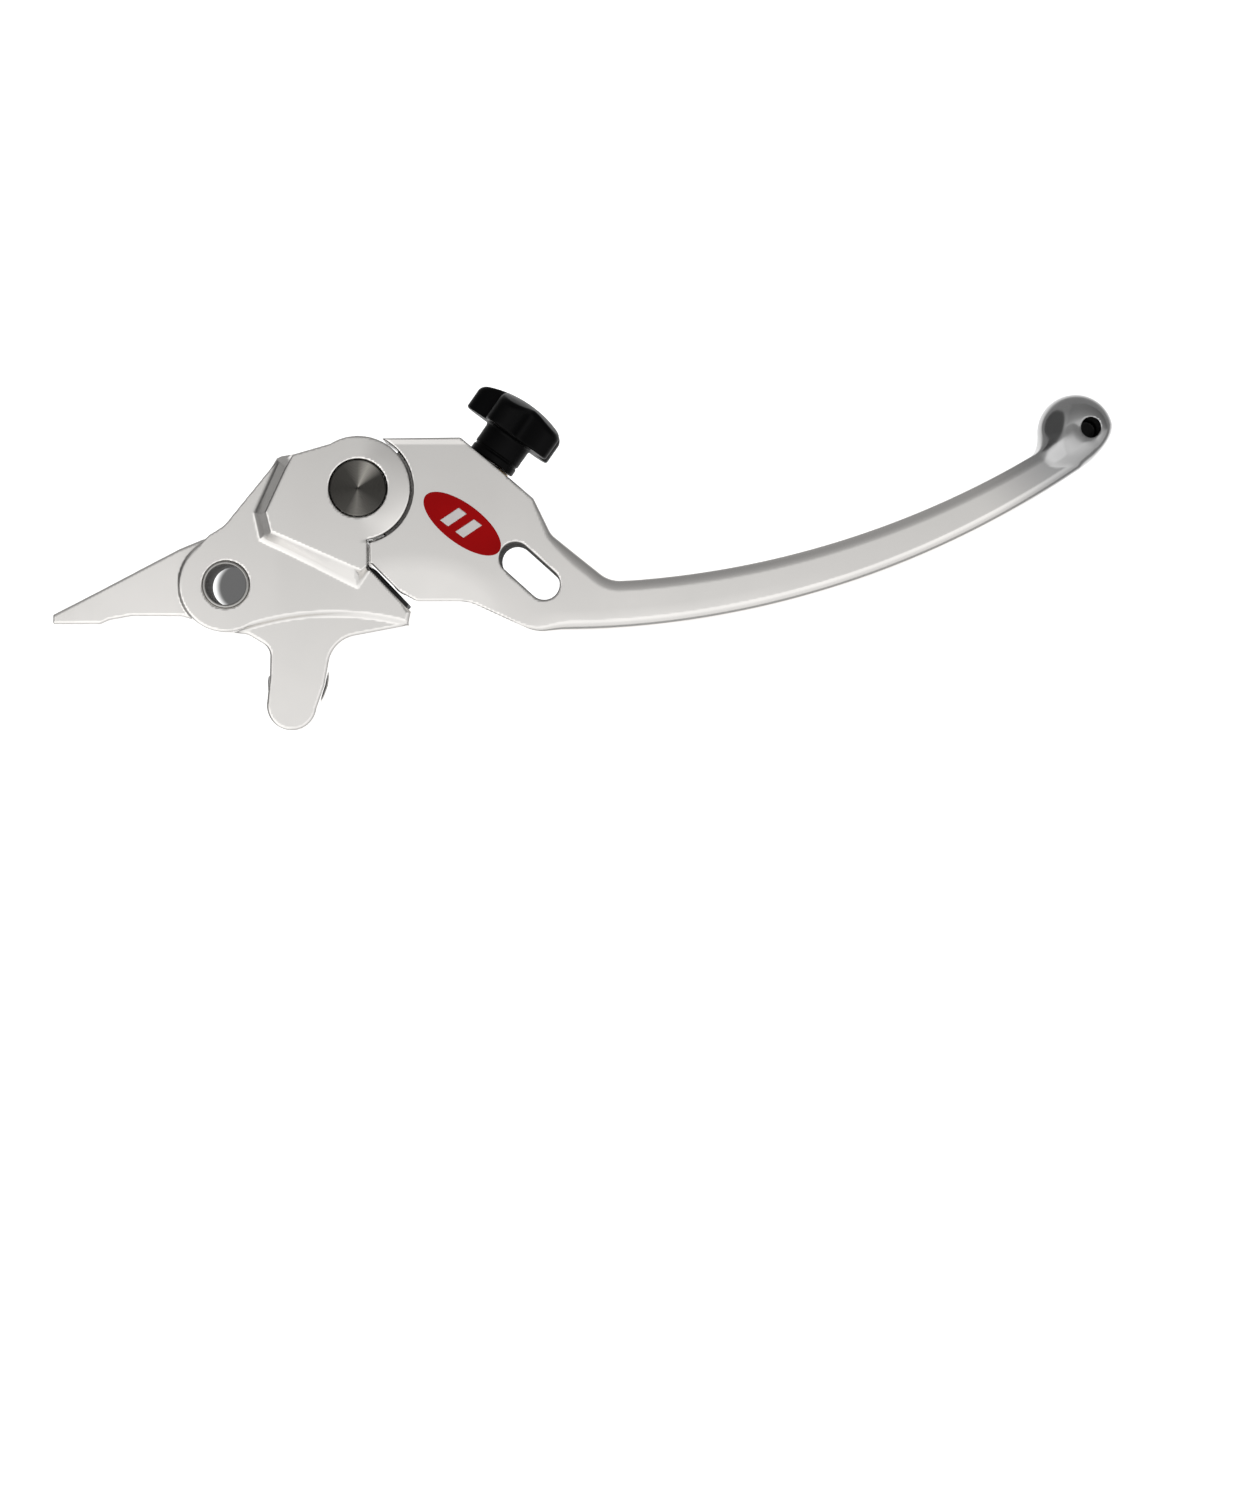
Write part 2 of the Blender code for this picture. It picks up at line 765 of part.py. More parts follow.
def make_blade(material):
    blade = plate("blade", blade_outline(), -2 * HEAD_HALF, 2 * HEAD_HALF)
    side = plate("side", side_outline(), -60 * MM, 60 * MM)
    keep_common(blade, place(side, Matrix.Rotation(math.radians(90), 4, "X")))
    round_edges(blade, 1.4 * MM)
    pin = (PIN_X, PIN_Y)
    tongue = rod("tongue", TONGUE_RADIUS, (*pin, -TONGUE_HALF), (*pin, TONGUE_HALF), 48)
    neck = [pin] + arc(pin, SHOULDER_RADIUS + 2 * MM, -62, 45, 14)
    join(
        blade,
        ball("ball", (BALL_X, BALL_Y, 0), BALL_RADIUS, BALL_HALF),
        tongue,
        plate("neck", neck, -TONGUE_HALF, TONGUE_HALF),
    )
    tip = (TIP_HOLE_X, TIP_HOLE_Y)
    tip_floor = BALL_HALF - TIP_HOLE_DEPTH
    window = plate("window", window_outline(), -2 * HEAD_HALF, 2 * HEAD_HALF)
    turn = Matrix.Rotation(math.radians(WINDOW_TILT), 4, "Z")
    cut(
        blade,
        place(window, Matrix.Translation((WINDOW_X, WINDOW_Y, 0)) @ turn),
        rod("tip_hole", TIP_HOLE, (*tip, tip_floor), (*tip, 2 * BALL_HALF), FINE),
        rod("bush_hole", PIN_SHANK + GAP + BUSH_WALL, (*pin, -HEAD_HALF), (*pin, HEAD_HALF), ROUND),
        rod("spring_pocket", SPRING_POCKET, (*pin, SPRING_POCKET_FLOOR), (*pin, HEAD_HALF), ROUND),
        *[place(tool, ADJUSTER_FRAME) for tool in adjuster_bores()],
    )
    finish(blade, "lever_blade", material, FOLD_AXIS)


# ---- adjuster, each piece in the adjuster's own frame ---------------------------------------------


def make_spindle_bush(material):
    inner = SPINDLE_RADIUS + GAP
    outer = BUSH_BORE - GAP
    groove = O_RING_MAJOR + O_RING_MINOR + GAP
    groove_half = O_RING_MINOR + GAP
    bush = turned(
        "bush",
        [
            (outer, SPINDLE_BUSH_TOP),
            (outer, SPINDLE_BUSH_BOTTOM),
            (inner, SPINDLE_BUSH_BOTTOM),
            (inner, O_RING_Z - groove_half),
            (groove, O_RING_Z - groove_half),
            (groove, O_RING_Z + groove_half),
            (inner, O_RING_Z + groove_half),
            (inner, SPINDLE_BUSH_TOP),
        ],
        ring=True,
    )
    finish(place(bush, ADJUSTER_FRAME), "spindle_bush", material)


def make_o_ring(material):
    section = arc((O_RING_MAJOR, O_RING_Z), O_RING_MINOR, 90, -230, 8)
    seal = turned("seal", section, FINE, ring=True)
    finish(place(seal, ADJUSTER_FRAME), "spindle_o_ring", material)


def make_spindle(material):
    spindle = turned(
        "spindle",
        [
            (0, SPINDLE_TOP),
            (SPINDLE_RADIUS, SPINDLE_TOP),
            (SPINDLE_RADIUS, COLLAR_TOP),
            (COLLAR_RADIUS, COLLAR_TOP),
            (COLLAR_RADIUS, COLLAR_BOTTOM),
            (SPINDLE_RADIUS, COLLAR_BOTTOM),
            (SPINDLE_RADIUS, COLLAR_BOTTOM - 1.5 * MM),
            (THREAD_RADIUS, COLLAR_BOTTOM - 2.0 * MM),
            (THREAD_RADIUS, SPINDLE_END + 0.4 * MM),
            (THREAD_RADIUS - 0.4 * MM, SPINDLE_END),
            (0, SPINDLE_END),
        ],
        FINE,
    )
    across = 6 * MM
    hole = rod("pin_hole", ROLL_PIN + GAP, (-across, 0, ROLL_PIN_Z), (across, 0, ROLL_PIN_Z), 12)
    cut(place(spindle, ADJUSTER_FRAME), place(hole, ADJUSTER_FRAME))
    finish(spindle, "adjuster_spindle", material, ADJUSTER_AXIS)


def make_plunger(material):
    """A threaded sleeve with a domed end, kept from turning by a keyway."""
    drilling = THREAD_RADIUS + GAP
    edge = math.asin(PLUNGER_RADIUS / PLUNGER_DOME)
    dome = []
    for i in range(7):
        angle = edge * (1 - i / 6)
        dome.append((PLUNGER_DOME * math.sin(angle), PLUNGER_DOME_CENTRE - PLUNGER_DOME * math.cos(angle)))
    plunger = turned(
        "plunger",
        [
            (0, PLUNGER_TOP),
            (PLUNGER_RADIUS - 0.3 * MM, PLUNGER_TOP),
            (PLUNGER_RADIUS, PLUNGER_TOP - 0.3 * MM),
            *dome,
        ],
        24,
    )
    bore = rod("drilling", drilling, (0, 0, PLUNGER_DRILLING_END), (0, 0, 0), FINE)
    half = GUIDE_POINT + GAP
    keyway = block("keyway", (-half, KEYWAY_FLOOR, KEYWAY_BOTTOM), (half, 2 * PLUNGER_RADIUS, KEYWAY_TOP))
    place(plunger, ADJUSTER_FRAME)
    cut(plunger, place(keyway, ADJUSTER_FRAME), place(bore, ADJUSTER_FRAME))
    finish(plunger, "adjuster_plunger", material, ADJUSTER_AXIS)


def make_guide_screw(material):
    """A dog-point screw from the underside of the blade into the plunger's keyway."""
    head = HEAD_HALF - 0.3 * MM
    screw = turned(
        "screw",
        [
            (0, head),
            (GUIDE_SCREW, head),
            (GUIDE_SCREW, 4.1 * MM),
            (GUIDE_POINT, 3.6 * MM),
            (GUIDE_POINT, KEYWAY_FLOOR + GAP),
            (0, KEYWAY_FLOOR + GAP),
        ],
        FINE,
    )
    socket = hex_socket(1.5 * MM, head - 1.4 * MM, head + MM)
    downwards = ADJUSTER_FRAME @ Matrix.Translation((0, 0, GUIDE_Z)) @ Matrix.Rotation(math.radians(-90), 4, "X")
    cut(place(screw, downwards), place(socket, downwards))
    finish(screw, "plunger_guide_screw", material)


def star(scale, lobe=1.0):
    """The knob's star outline. The lobe factor fades the lobes towards the dome's crown."""
    middle = (KNOB_LOBE_OUTER + KNOB_LOBE_INNER) / 2
    swing = (KNOB_LOBE_OUTER - KNOB_LOBE_INNER) / 2
    points = []
    sides = KNOB_LOBES * 12
    for i in range(sides):
        angle = 2 * math.pi * i / sides
        wave = math.cos(KNOB_LOBES * angle)
        radius = scale * (middle + lobe * swing * wave * (1.25 - 0.25 * wave))
        points.append((radius * math.cos(angle + math.pi), radius * math.sin(angle + math.pi)))
    return points


def make_knob(material):
    levels = [
        (0.95, 1.0, KNOB_CAP_BOTTOM),
        (1.0, 1.0, KNOB_CAP_BOTTOM + 0.6 * MM),
        (1.0, 1.0, KNOB_CAP_SHOULDER - 0.3 * MM),
        (0.95, 1.0, KNOB_CAP_SHOULDER + 0.3 * MM),
        (0.72, 0.7, KNOB_TOP - 0.9 * MM),
        (0.42, 0.3, KNOB_TOP - 0.25 * MM),
        (0.15, 0.0, KNOB_TOP),
    ]
    cap = loft("cap", [[(x, y, height) for x, y in star(scale, lobe)] for scale, lobe, height in levels])
    shank = rod("shank", KNOB_SHANK, (0, 0, KNOB_FOOT), (0, 0, KNOB_CAP_BOTTOM + MM), ROUND)
    across = 8 * MM
    spindle_hole = rod("spindle_hole", SPINDLE_RADIUS + GAP, (0, 0, -MM), (0, 0, SPINDLE_TOP + GAP), FINE)
    pin_hole = rod("pin_hole", ROLL_PIN + GAP, (-across, 0, ROLL_PIN_Z), (across, 0, ROLL_PIN_Z), 12)
    detent_top = (0, DETENT_OFFSET, DETENT_HOLE_TOP)
    detent_hole = rod("detent_hole", DETENT_HOLE, (0, DETENT_OFFSET, -MM), detent_top, 12)
    tools = [spindle_hole, pin_hole, detent_hole]
    place(cap, ADJUSTER_FRAME)
    join(cap, place(shank, ADJUSTER_FRAME))
    cut(cap, *[place(tool, ADJUSTER_FRAME) for tool in tools])
    finish(cap, "adjuster_knob", material, ADJUSTER_AXIS)


def make_roll_pin(material):
    pin = rod("pin", ROLL_PIN, (-ROLL_PIN_HALF, 0, ROLL_PIN_Z), (ROLL_PIN_HALF, 0, ROLL_PIN_Z), 12)
    finish(place(pin, ADJUSTER_FRAME), "knob_roll_pin", material, ADJUSTER_AXIS)


def make_detent(ball_material, spring_material):
    """A sprung ball in the knob's shank, which clicks over the spindle bush."""
    centre = (0, DETENT_OFFSET, DETENT_BALL_Z)
    bead = ball("bead", centre, DETENT_BALL, DETENT_BALL, 12, 8)
    finish(place(bead, ADJUSTER_FRAME), "detent_ball", ball_material, ADJUSTER_AXIS)
    pitch = DETENT_SPRING_HEIGHT / DETENT_SPRING_TURNS
    spring = coil("spring", DETENT_SPRING_RADIUS, DETENT_WIRE, DETENT_SPRING_TURNS, pitch, 0, 8)
    stand = ADJUSTER_FRAME @ Matrix.Translation((0, DETENT_OFFSET, DETENT_SPRING_BOTTOM))
    finish(place(spring, stand), "detent_spring", spring_material, ADJUSTER_AXIS)


def main():
    make_base(make_material("satin_silver_base", SILVER, 0.35, 1.0))
    make_perch_bush(make_material("perch_bush_steel", STEEL, 0.3, 1.0))
    make_set_screw(make_material("set_screw_steel", BLACK, 0.4, 0.6))
    make_wear_pad(make_material("pad_plastic", BLACK, 0.6, 0.0))
    make_fork_bushes(make_material("fork_bush_bronze", BRONZE, 0.35, 1.0))
    make_return_spring(make_material("spring_steel", STEEL, 0.35, 1.0))
    make_fold_pin(make_material("pin_steel", STEEL, 0.25, 1.0))
    make_pin_washer(make_material("washer_steel", STEEL, 0.35, 1.0))
    make_pin_screw(make_material("screw_steel", STEEL, 0.35, 1.0))
    make_blade(make_material("satin_silver_blade", SILVER, 0.3, 1.0))
    make_tongue_bush(make_material("tongue_bush_bronze", BRONZE, 0.35, 1.0))
    make_spindle_bush(make_material("spindle_bush_bronze", BRONZE, 0.35, 1.0))
    make_o_ring(make_material("seal_rubber", BLACK, 0.7, 0.0))
    make_guide_screw(make_material("guide_screw_steel", BLACK, 0.4, 0.6))
    make_spindle(make_material("spindle_steel", STEEL, 0.3, 1.0))
    make_plunger(make_material("plunger_steel", BLACK, 0.35, 0.6))
    make_knob(make_material("knob_black", BLACK, 0.25, 0.0))
    make_roll_pin(make_material("roll_pin_steel", STEEL, 0.35, 1.0))
    make_detent(
        make_material("detent_ball_steel", STEEL, 0.2, 1.0),
        make_material("detent_spring_steel", STEEL, 0.35, 1.0),
    )


main()
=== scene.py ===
import math

import bpy
import numpy as np
from mathutils import Matrix, Vector


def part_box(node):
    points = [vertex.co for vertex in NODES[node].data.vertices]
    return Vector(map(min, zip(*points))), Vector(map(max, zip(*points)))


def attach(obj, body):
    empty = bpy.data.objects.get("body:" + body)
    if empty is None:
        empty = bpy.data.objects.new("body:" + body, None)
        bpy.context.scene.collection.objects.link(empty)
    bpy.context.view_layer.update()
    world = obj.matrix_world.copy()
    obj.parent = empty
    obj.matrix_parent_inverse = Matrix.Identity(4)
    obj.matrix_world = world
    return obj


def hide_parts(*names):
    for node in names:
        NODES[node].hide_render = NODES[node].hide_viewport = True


# Looks for a folding, span-adjustable brake lever: fine meshes, finishes, lights and a camera around
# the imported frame. Shapes are worked out in millimetres in the lever's own frame: origin at the perch
# pivot, X towards the ball end, Y forward, Z up. A shape is a distance field, negative inside the
# material and positive outside, and its mesh is the field's zero surface.

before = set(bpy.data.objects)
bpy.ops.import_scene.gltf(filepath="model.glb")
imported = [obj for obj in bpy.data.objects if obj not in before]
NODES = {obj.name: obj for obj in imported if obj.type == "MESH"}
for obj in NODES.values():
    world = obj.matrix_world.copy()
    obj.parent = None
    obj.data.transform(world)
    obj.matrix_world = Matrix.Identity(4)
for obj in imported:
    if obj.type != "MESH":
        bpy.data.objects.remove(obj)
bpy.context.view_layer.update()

MM = 0.001

# Half-thicknesses
TAIL_HALF = 3.3
TAIL_RISE = 1.9
FINGER_HALF = 4.8
ARM_HALF = 5.5
BOSS_HALF = 6.0
CHEEK_HALF = 8.5
SLOT_HALF = 3.6
TONGUE_HALF = 3.3
HEAD_HALF = 8.0

# Perch pivot
BOSS_RADIUS = 9.5
PERCH_BORE = 4.05
PERCH_BUSH_OUTER = 4.65
PERCH_BUSH_HALF = 6.3

# How far edges are rounded, clearances and a screw thread, which several pieces share
SHARP = 0.1
NEAT = 0.15
FINE = 0.2
SOFT = 0.3
GAP = 0.3
SCREW_GAP = 0.1
TIGHT_GAP = 0.05
SMALL_THREAD = (0.5, 0.25)  # pitch and depth

# Fold pivot
PIN = (26.56, 19.08)
PIN_SHANK = 3.0
PIN_HEAD = 5.55
PIN_HEAD_TOP = 8.9
COUNTERBORE_FLOOR = 6.4
COUNTERBORE = PIN_HEAD + 0.2
CHEEK_RADIUS = 10.4
FORK_SLOT_RADIUS = 10.5
TONGUE_RADIUS = 10.0
SHOULDER_RADIUS = 10.95
PIN_HOLE = 4.8
PIN_DRILLING = 1.8
PIN_DRILLING_END = -1.0
PIN_CENTRE_MARK = (0.45, 0.35)  # radius and depth
PIN_SCREW = 1.5
PIN_SCREW_HEAD = 3.2
PIN_SCREW_DOME = 4.6
# How far below the counterbore's floor the head's underside, its crown and the shank's end are
PIN_SCREW_DEPTHS = (1.3, 2.8, -4.8)
PIN_SCREW_SOCKET = (2.2, 1.1, 0.06)
WASHER_THICKNESS = 0.7
TONGUE_BORE = 4.5
SPRING_POCKET = 6.6
SPRING_POCKET_FLOOR = 0.2

# Ball end
BALL = (170.3, 30.9)
BALL_RADIUS = 7.6
# The ball's flats: which way each faces, how far it is from the centre and how soft its edge is
BALL_FLATS = [
    ((0.16, -0.07, 0.985), 6.2, 1.2),
    ((-0.64, 0.12, 0.76), 7.0, 0.4),
    ((0.75, -0.66, 0), 6.4, 2.5),
]
BALL_FILLET = 3.0
BALL_REAR_FILLET = 0.5
# Painted shade: the ball's face is coloured darker, most near its centre
BALL_SHADE = (0.45, 0.45, 0.45)
BALL_SHADE_REACH = (6.0, 26.0)
TIP_HOLE = (172.7, 31.4)
TIP_HOLE_RADIUS = 2.0
TIP_HOLE_FLOOR = -2.0

# Window in the blade's head
WINDOW = (60.7, 2.6)
WINDOW_RADIUS = 3.1
WINDOW_REACH = 3.85  # from the middle to the centres of the round ends
WINDOW_TILT = -42

# Piston set screw
SET_SCREW_Y = -20.2
SET_SCREW_RADIUS = 2.7
SET_SCREW_TIP_X = 8.0
SET_SCREW_END_X = 17.3
SET_SCREW_THREAD = (0.8, 0.42)
SET_SCREW_CHAMFER = 0.5
SET_SCREW_POINT = 2.1
SET_SCREW_POINT_END = 1.2
SET_SCREW_POINT_ROOT = 1.5
SET_SCREW_SOCKET = (3.0, 2.6, 0.08)  # across the flats, depth and edge, as for the other screws

# Stop face and wear pad
LUG_INNER = (28.1, 3.8)
LUG_OUTER = (36.8, -5.3)
PAD_HALF = 4.6
PAD_PROUD = 0.6
PAD_SUNK = 0.7
PAD_START = 1.0
PAD_LENGTH = 10.4
PAD_PEG = 1.2
PAD_PEG_DEPTH = 4.0
PAD_SEAT_TOP = 5

# Adjuster, measured along its own outward axis
ADJUSTER = (52.6, 24.8)
ADJUSTER_ANGLE = 55
BUSH_BORE = 4.5
BUSH_BORE_FLOOR = -10.0
PLUNGER_BORE = 3.2
PLUNGER_BORE_TOP = -9.0
PLUNGER_RADIUS = 2.85
PLUNGER_TOP = -16.0
PLUNGER_DOME = 4.5
PLUNGER_DOME_CENTRE = -27.34
PLUNGER_DRILLING = 1.8
PLUNGER_DRILLING_END = -28.0
GUIDE_Z = -22.0
GUIDE_SCREW = 1.5
GUIDE_POINT = 0.6
GUIDE_POINT_ROOT = 5.0
GUIDE_THREAD_END = 4.1
GUIDE_SOCKET = (1.5, 1.4, 0.05)
KEYWAY_FLOOR = 2.3
KEYWAY_MOUTH = 9
KEYWAY_TOP = -17.9
KEYWAY_BOTTOM = -23.9
SPINDLE_RADIUS = 2.0
SPINDLE_BUSH_TOP = -0.1
SPINDLE_BUSH_BOTTOM = -8.0
KNOB_SHANK = 5.05
KNOB_FOOT = 0.1
KNOB_CAP_BOTTOM = 6.5
KNOB_SHOULDER = 11.6
KNOB_TOP = 14.1
KNOB_LOBES = 5
KNOB_LOBE_OUTER = 10.4
KNOB_LOBE_INNER = 7.7
KNOB_LOBE_PINCH = 0.25
KNOB_LOBE_EDGE = 0.9
KNOB_LOBE_EASE = 0.9  # keeps the lobes' field from rising faster than distance does
KNOB_CAP_EDGE = 0.5
KNOB_CAP_FILLET = 0.8
KNOB_BORE_END = 8.8
KNOB_GROOVE = (1.9, 0.3)  # height and radius
PLUNGER_EDGE = 0.25
ROLL_PIN_Z = 3.6
ROLL_PIN = 0.75
ROLL_PIN_HALF = 4.6
ROLL_PIN_HOLE_HALF = 8
ROLL_PIN_BORE = 0.38
ROLL_PIN_EDGE = 0.12


# ---- outlines ----


def arc(centre, radius, start, end):
    """A stretch of an outline on a circle, between two angles in degrees."""
    return centre, radius, math.radians(start), math.radians(end)


def on_circle(centre, radius, angle):
    return centre[0] + radius * math.cos(angle), centre[1] + radius * math.sin(angle)


def circle_through(first, middle, last):
    """Centre and radius of the circle through three points."""
    (ax, ay), (bx, by), (cx, cy) = first, middle, last
    a2, b2, c2 = ax * ax + ay * ay, bx * bx + by * by, cx * cx + cy * cy
    twice = 2 * (ax * (by - cy) + bx * (cy - ay) + cx * (ay - by))
    x = (a2 * (by - cy) + b2 * (cy - ay) + c2 * (ay - by)) / twice
    y = (a2 * (cx - bx) + b2 * (ax - cx) + c2 * (bx - ax)) / twice
    return (x, y), math.hypot(ax - x, ay - y)


def short_turn(centre, radius, first, last):
    """The arc of a circle from one point to another, the shorter way round."""
    start = math.atan2(first[1] - centre[1], first[0] - centre[0])
    end = math.atan2(last[1] - centre[1], last[0] - centre[0])
    turn = (end - start + math.pi) % (2 * math.pi) - math.pi
    return centre, radius, start, start + turn


def arc_through(first, middle, last):
    return short_turn(*circle_through(first, middle, last), first, last)


def first_point(item):
    return on_circle(item[0], item[1], item[2]) if len(item) == 4 else item[:2]


def last_point(item):
    return on_circle(item[0], item[1], item[3]) if len(item) == 4 else item[:2]


def rounded_corner(before, item, after):
    """The arc that rounds a corner between two straight sides."""
    here = Vector(item[:2])
    back = (Vector(before) - here).normalized()
    ahead = (Vector(after) - here).normalized()
    half = back.angle(ahead) / 2
    centre = here + (back + ahead).normalized() * (item[2] / math.sin(half))
    reach = item[2] / math.tan(half)
    return short_turn(tuple(centre), item[2], here + back * reach, here + ahead * reach)


class Outline:
    """A closed outline of points (x, y), rounded corners (x, y, radius) and arcs."""

    LONGEST_ARC = math.radians(150)
    SAME_POINT = 1e-6

    def __init__(self, *items):
        count = len(items)
        runs = []
        for i, item in enumerate(items):
            if len(item) == 3:
                before, after = last_point(items[i - 1]), first_point(items[(i + 1) % count])
                item = rounded_corner(before, item, after)
            runs.append(item)
        self.arcs = []
        self.lines = []
        for i, item in enumerate(runs):
            if len(item) == 4:
                self.add_arc(*item)
            start, end = last_point(item), first_point(runs[(i + 1) % count])
            if math.dist(start, end) > self.SAME_POINT:
                self.lines.append((start, end))

    def add_arc(self, centre, radius, start, end):
        parts = max(1, math.ceil(abs(end - start) / self.LONGEST_ARC))
        for i in range(parts):
            first, last = start + (end - start) * i / parts, start + (end - start) * (i + 1) / parts
            self.arcs.append((centre, radius, first, last))

    def distance(self, x, y):
        """Signed distance in the plane, negative inside the outline."""
        nearest = np.full(np.broadcast(x, y).shape, np.inf)
        inside = np.zeros(nearest.shape, bool)
        for start, end in self.lines:
            nearest = np.minimum(nearest, line_distance(x, y, start, end))
            inside ^= crosses(x, y, start, end)
        for centre, radius, first, last in self.arcs:
            start, end = on_circle(centre, radius, first), on_circle(centre, radius, last)
            middle = on_circle(centre, radius, (first + last) / 2)
            out = disc(x, y, centre, 0)
            mx, my = middle[0] - centre[0], middle[1] - centre[1]
            facing = (x - centre[0]) * mx + (y - centre[1]) * my
            in_sector = facing >= out * radius * math.cos((last - first) / 2)
            ends = np.minimum(disc(x, y, start, 0), disc(x, y, end, 0))
            nearest = np.minimum(nearest, np.where(in_sector, np.abs(out - radius), ends))
            inside ^= crosses(x, y, start, end)
            bulge = side_of(x, y, start, end) * side_of(*middle, start, end) > 0
            inside ^= bulge & (out < radius)
        return np.where(inside, -nearest, nearest)


def line_distance(x, y, start, end):
    dx, dy = end[0] - start[0], end[1] - start[1]
    t = np.clip(((x - start[0]) * dx + (y - start[1]) * dy) / (dx * dx + dy * dy), 0, 1)
    return np.hypot(x - start[0] - t * dx, y - start[1] - t * dy)


def side_of(x, y, start, end):
    return (end[0] - start[0]) * (y - start[1]) - (end[1] - start[1]) * (x - start[0])


def crosses(x, y, start, end):
    """True where a ray along +X from the point crosses the line."""
    if start[1] == end[1]:
        return False
    straddles = (start[1] > y) != (end[1] > y)
    at = start[0] + (y - start[1]) * (end[0] - start[0]) / (end[1] - start[1])
    return straddles & (x < at)


# ---- distance fields ----


def meet(a, b, edge):
    """Where two solids overlap, with the edge between them rounded."""
    corner = np.hypot(np.maximum(a + edge, 0), np.maximum(b + edge, 0))
    return np.minimum(-edge, np.maximum(a, b)) + corner


def fuse(a, b, fillet):
    """Two solids together, with the corner between them filleted."""
    corner = np.hypot(np.maximum(fillet - a, 0), np.maximum(fillet - b, 0))
    return np.maximum(fillet, np.minimum(a, b)) - corner


def carve(solid, tool, edge):
    """A solid with a tool taken out of it, and the edge that is left rounded."""
    return meet(solid, -tool, edge)


def carve_all(solid, *cuts):
    for tool, edge in cuts:
        solid = carve(solid, tool, edge)
    return solid


def blend_down(a, b, width):
    """The larger of two fields, with the crease between them softened."""
    h = np.maximum(width - np.abs(a - b), 0) / width
    return np.maximum(a, b) + h * h * width / 4


def blend_up(a, b, width):
    return -blend_down(-a, -b, width)


def smooth(value, low, high):
    """Rises from 0 to 1 between two values, with no kink at either end."""
    t = np.clip((value - low) / (high - low), 0, 1)
    return t * t * (3 - 2 * t)


def disc(x, y, centre, radius):
    return np.hypot(x - centre[0], y - centre[1]) - radius


def slab(value, low, high):
    """The space between two planes."""
    return np.maximum(value - high, low - value)


def pillar(x, y, z, centre, radius, low, high, edge):
    """A cylinder along Z."""
    return meet(disc(x, y, centre, radius), slab(z, low, high), edge)


def brick(x, y, z, low, high, edge):
    """A box with rounded edges."""
    sides = [slab(*part) for part in zip((x, y, z), low, high)]
    return meet(meet(sides[0], sides[1], edge), sides[2], edge)


def sink(body, x, y, down, socket):
    """Takes a hexagon socket out of a screw: its size across the flats, its depth and its edge."""
    across_flats, depth, edge = socket
    flats = [abs(x * math.cos(a) + y * math.sin(a)) for a in (0, math.pi / 3, 2 * math.pi / 3)]
    hexagon = np.maximum(np.maximum(flats[0], flats[1]), flats[2]) - across_flats / 2
    return carve(body, np.maximum(hexagon, down - depth), edge)


def between(first, last, share):
    return first + (last - first) * share


def thread(x, y, z, radius, pitch, depth):
    """A right-hand screw thread along Z, with its crests at the radius."""
    crest, root = 0.15, 0.85
    turn = np.arctan2(y, x) / (2 * math.pi)
    tooth = np.abs(((z / pitch - turn) % 1) - 0.5) * 2
    return np.hypot(x, y) - (radius - depth * smooth(tooth, crest, root))


def into(x, y, z, place):
    """A point's coordinates in a placed frame."""
    rows = place.inverted()[:3]
    return tuple(row[0] * x + row[1] * y + row[2] * z + row[3] for row in rows)


# ---- meshes ----

# A grid reaches a few steps past its box, and no whole number of them, so that no face lies on it
GRID_BEFORE = 1.37
GRID_AFTER = 2.0
SETTLE_PROBE = 0.002
SETTLE_ROUNDS = 2
NORMAL_PROBE = 0.05
LONGEST_MOVE = 0.7  # of a step
SHARP_ANGLE = math.radians(32)

# The eight corners of a grid cell and the pairs of corners that its edges join
CORNERS = [(i, j, k) for i in (0, 1) for j in (0, 1) for k in (0, 1)]
EDGES = [
    (a, b)
    for a in range(8)
    for b in range(a + 1, 8)
    if sum(abs(p - q) for p, q in zip(CORNERS[a], CORNERS[b])) == 1
]


def shifted(grid, corner):
    """The grid's values at one corner of every cell."""
    return grid[tuple(slice(c, size - 1 + c) for c, size in zip(corner, grid.shape))]


def net(field, low, high, step):
    """Vertices and quads of a field's zero surface: one vertex in each cell that it passes through."""
    axes = [np.arange(a - GRID_BEFORE * step, b + GRID_AFTER * step, step) for a, b in zip(low, high)]
    value = field(*np.meshgrid(*axes, indexing="ij", sparse=True))
    value = np.broadcast_to(value, [len(a) for a in axes])
    inside = value < 0
    count = sum(shifted(inside, corner).astype(np.int8) for corner in CORNERS)
    crossed = (count > 0) & (count < 8)
    cells = np.argwhere(crossed)
    corner_values = [shifted(value, corner)[crossed] for corner in CORNERS]
    total = np.zeros((len(cells), 3))
    hits = np.zeros(len(cells))
    for a, b in EDGES:
        va, vb = corner_values[a], corner_values[b]
        cut = (va < 0) != (vb < 0)
        t = va[cut] / (va[cut] - vb[cut])
        start, end = np.array(CORNERS[a]), np.array(CORNERS[b])
        total[cut] += start + t[:, None] * (end - start)
        hits[cut] += 1
    origin = np.array([a[0] for a in axes])
    points = origin + (cells + total / hits[:, None]) * step
    number = np.full(crossed.shape, -1)
    number[crossed] = np.arange(len(cells))
    return points, np.concatenate([net_quads(inside, number, axis) for axis in range(3)])


def net_quads(inside, number, axis):
    """The quads round the grid edges along one axis that the surface crosses."""
    u, v = (axis + 1) % 3, (axis + 2) % 3
    near = np.take(inside, range(inside.shape[axis] - 1), axis)
    far = np.take(inside, range(1, inside.shape[axis]), axis)
    where = np.argwhere(near != far)
    outward = near[tuple(where.T)]
    ring = []
    for du, dv in ((-1, -1), (0, -1), (0, 0), (-1, 0)):
        cell = where.copy()
        cell[:, u] += du
        cell[:, v] += dv
        ring.append(number[tuple(cell.T)])
    quads = np.stack(ring, 1)
    quads[~outward] = quads[~outward][:, ::-1]
    return quads


def slope(field, points, reach):
    """The field's gradient at each point."""
    parts = []
    for axis in range(3):
        step = np.zeros(3)
        step[axis] = reach
        parts.append((field(*(points + step).T) - field(*(points - step).T)) / (2 * reach))
    return np.stack(parts, 1)


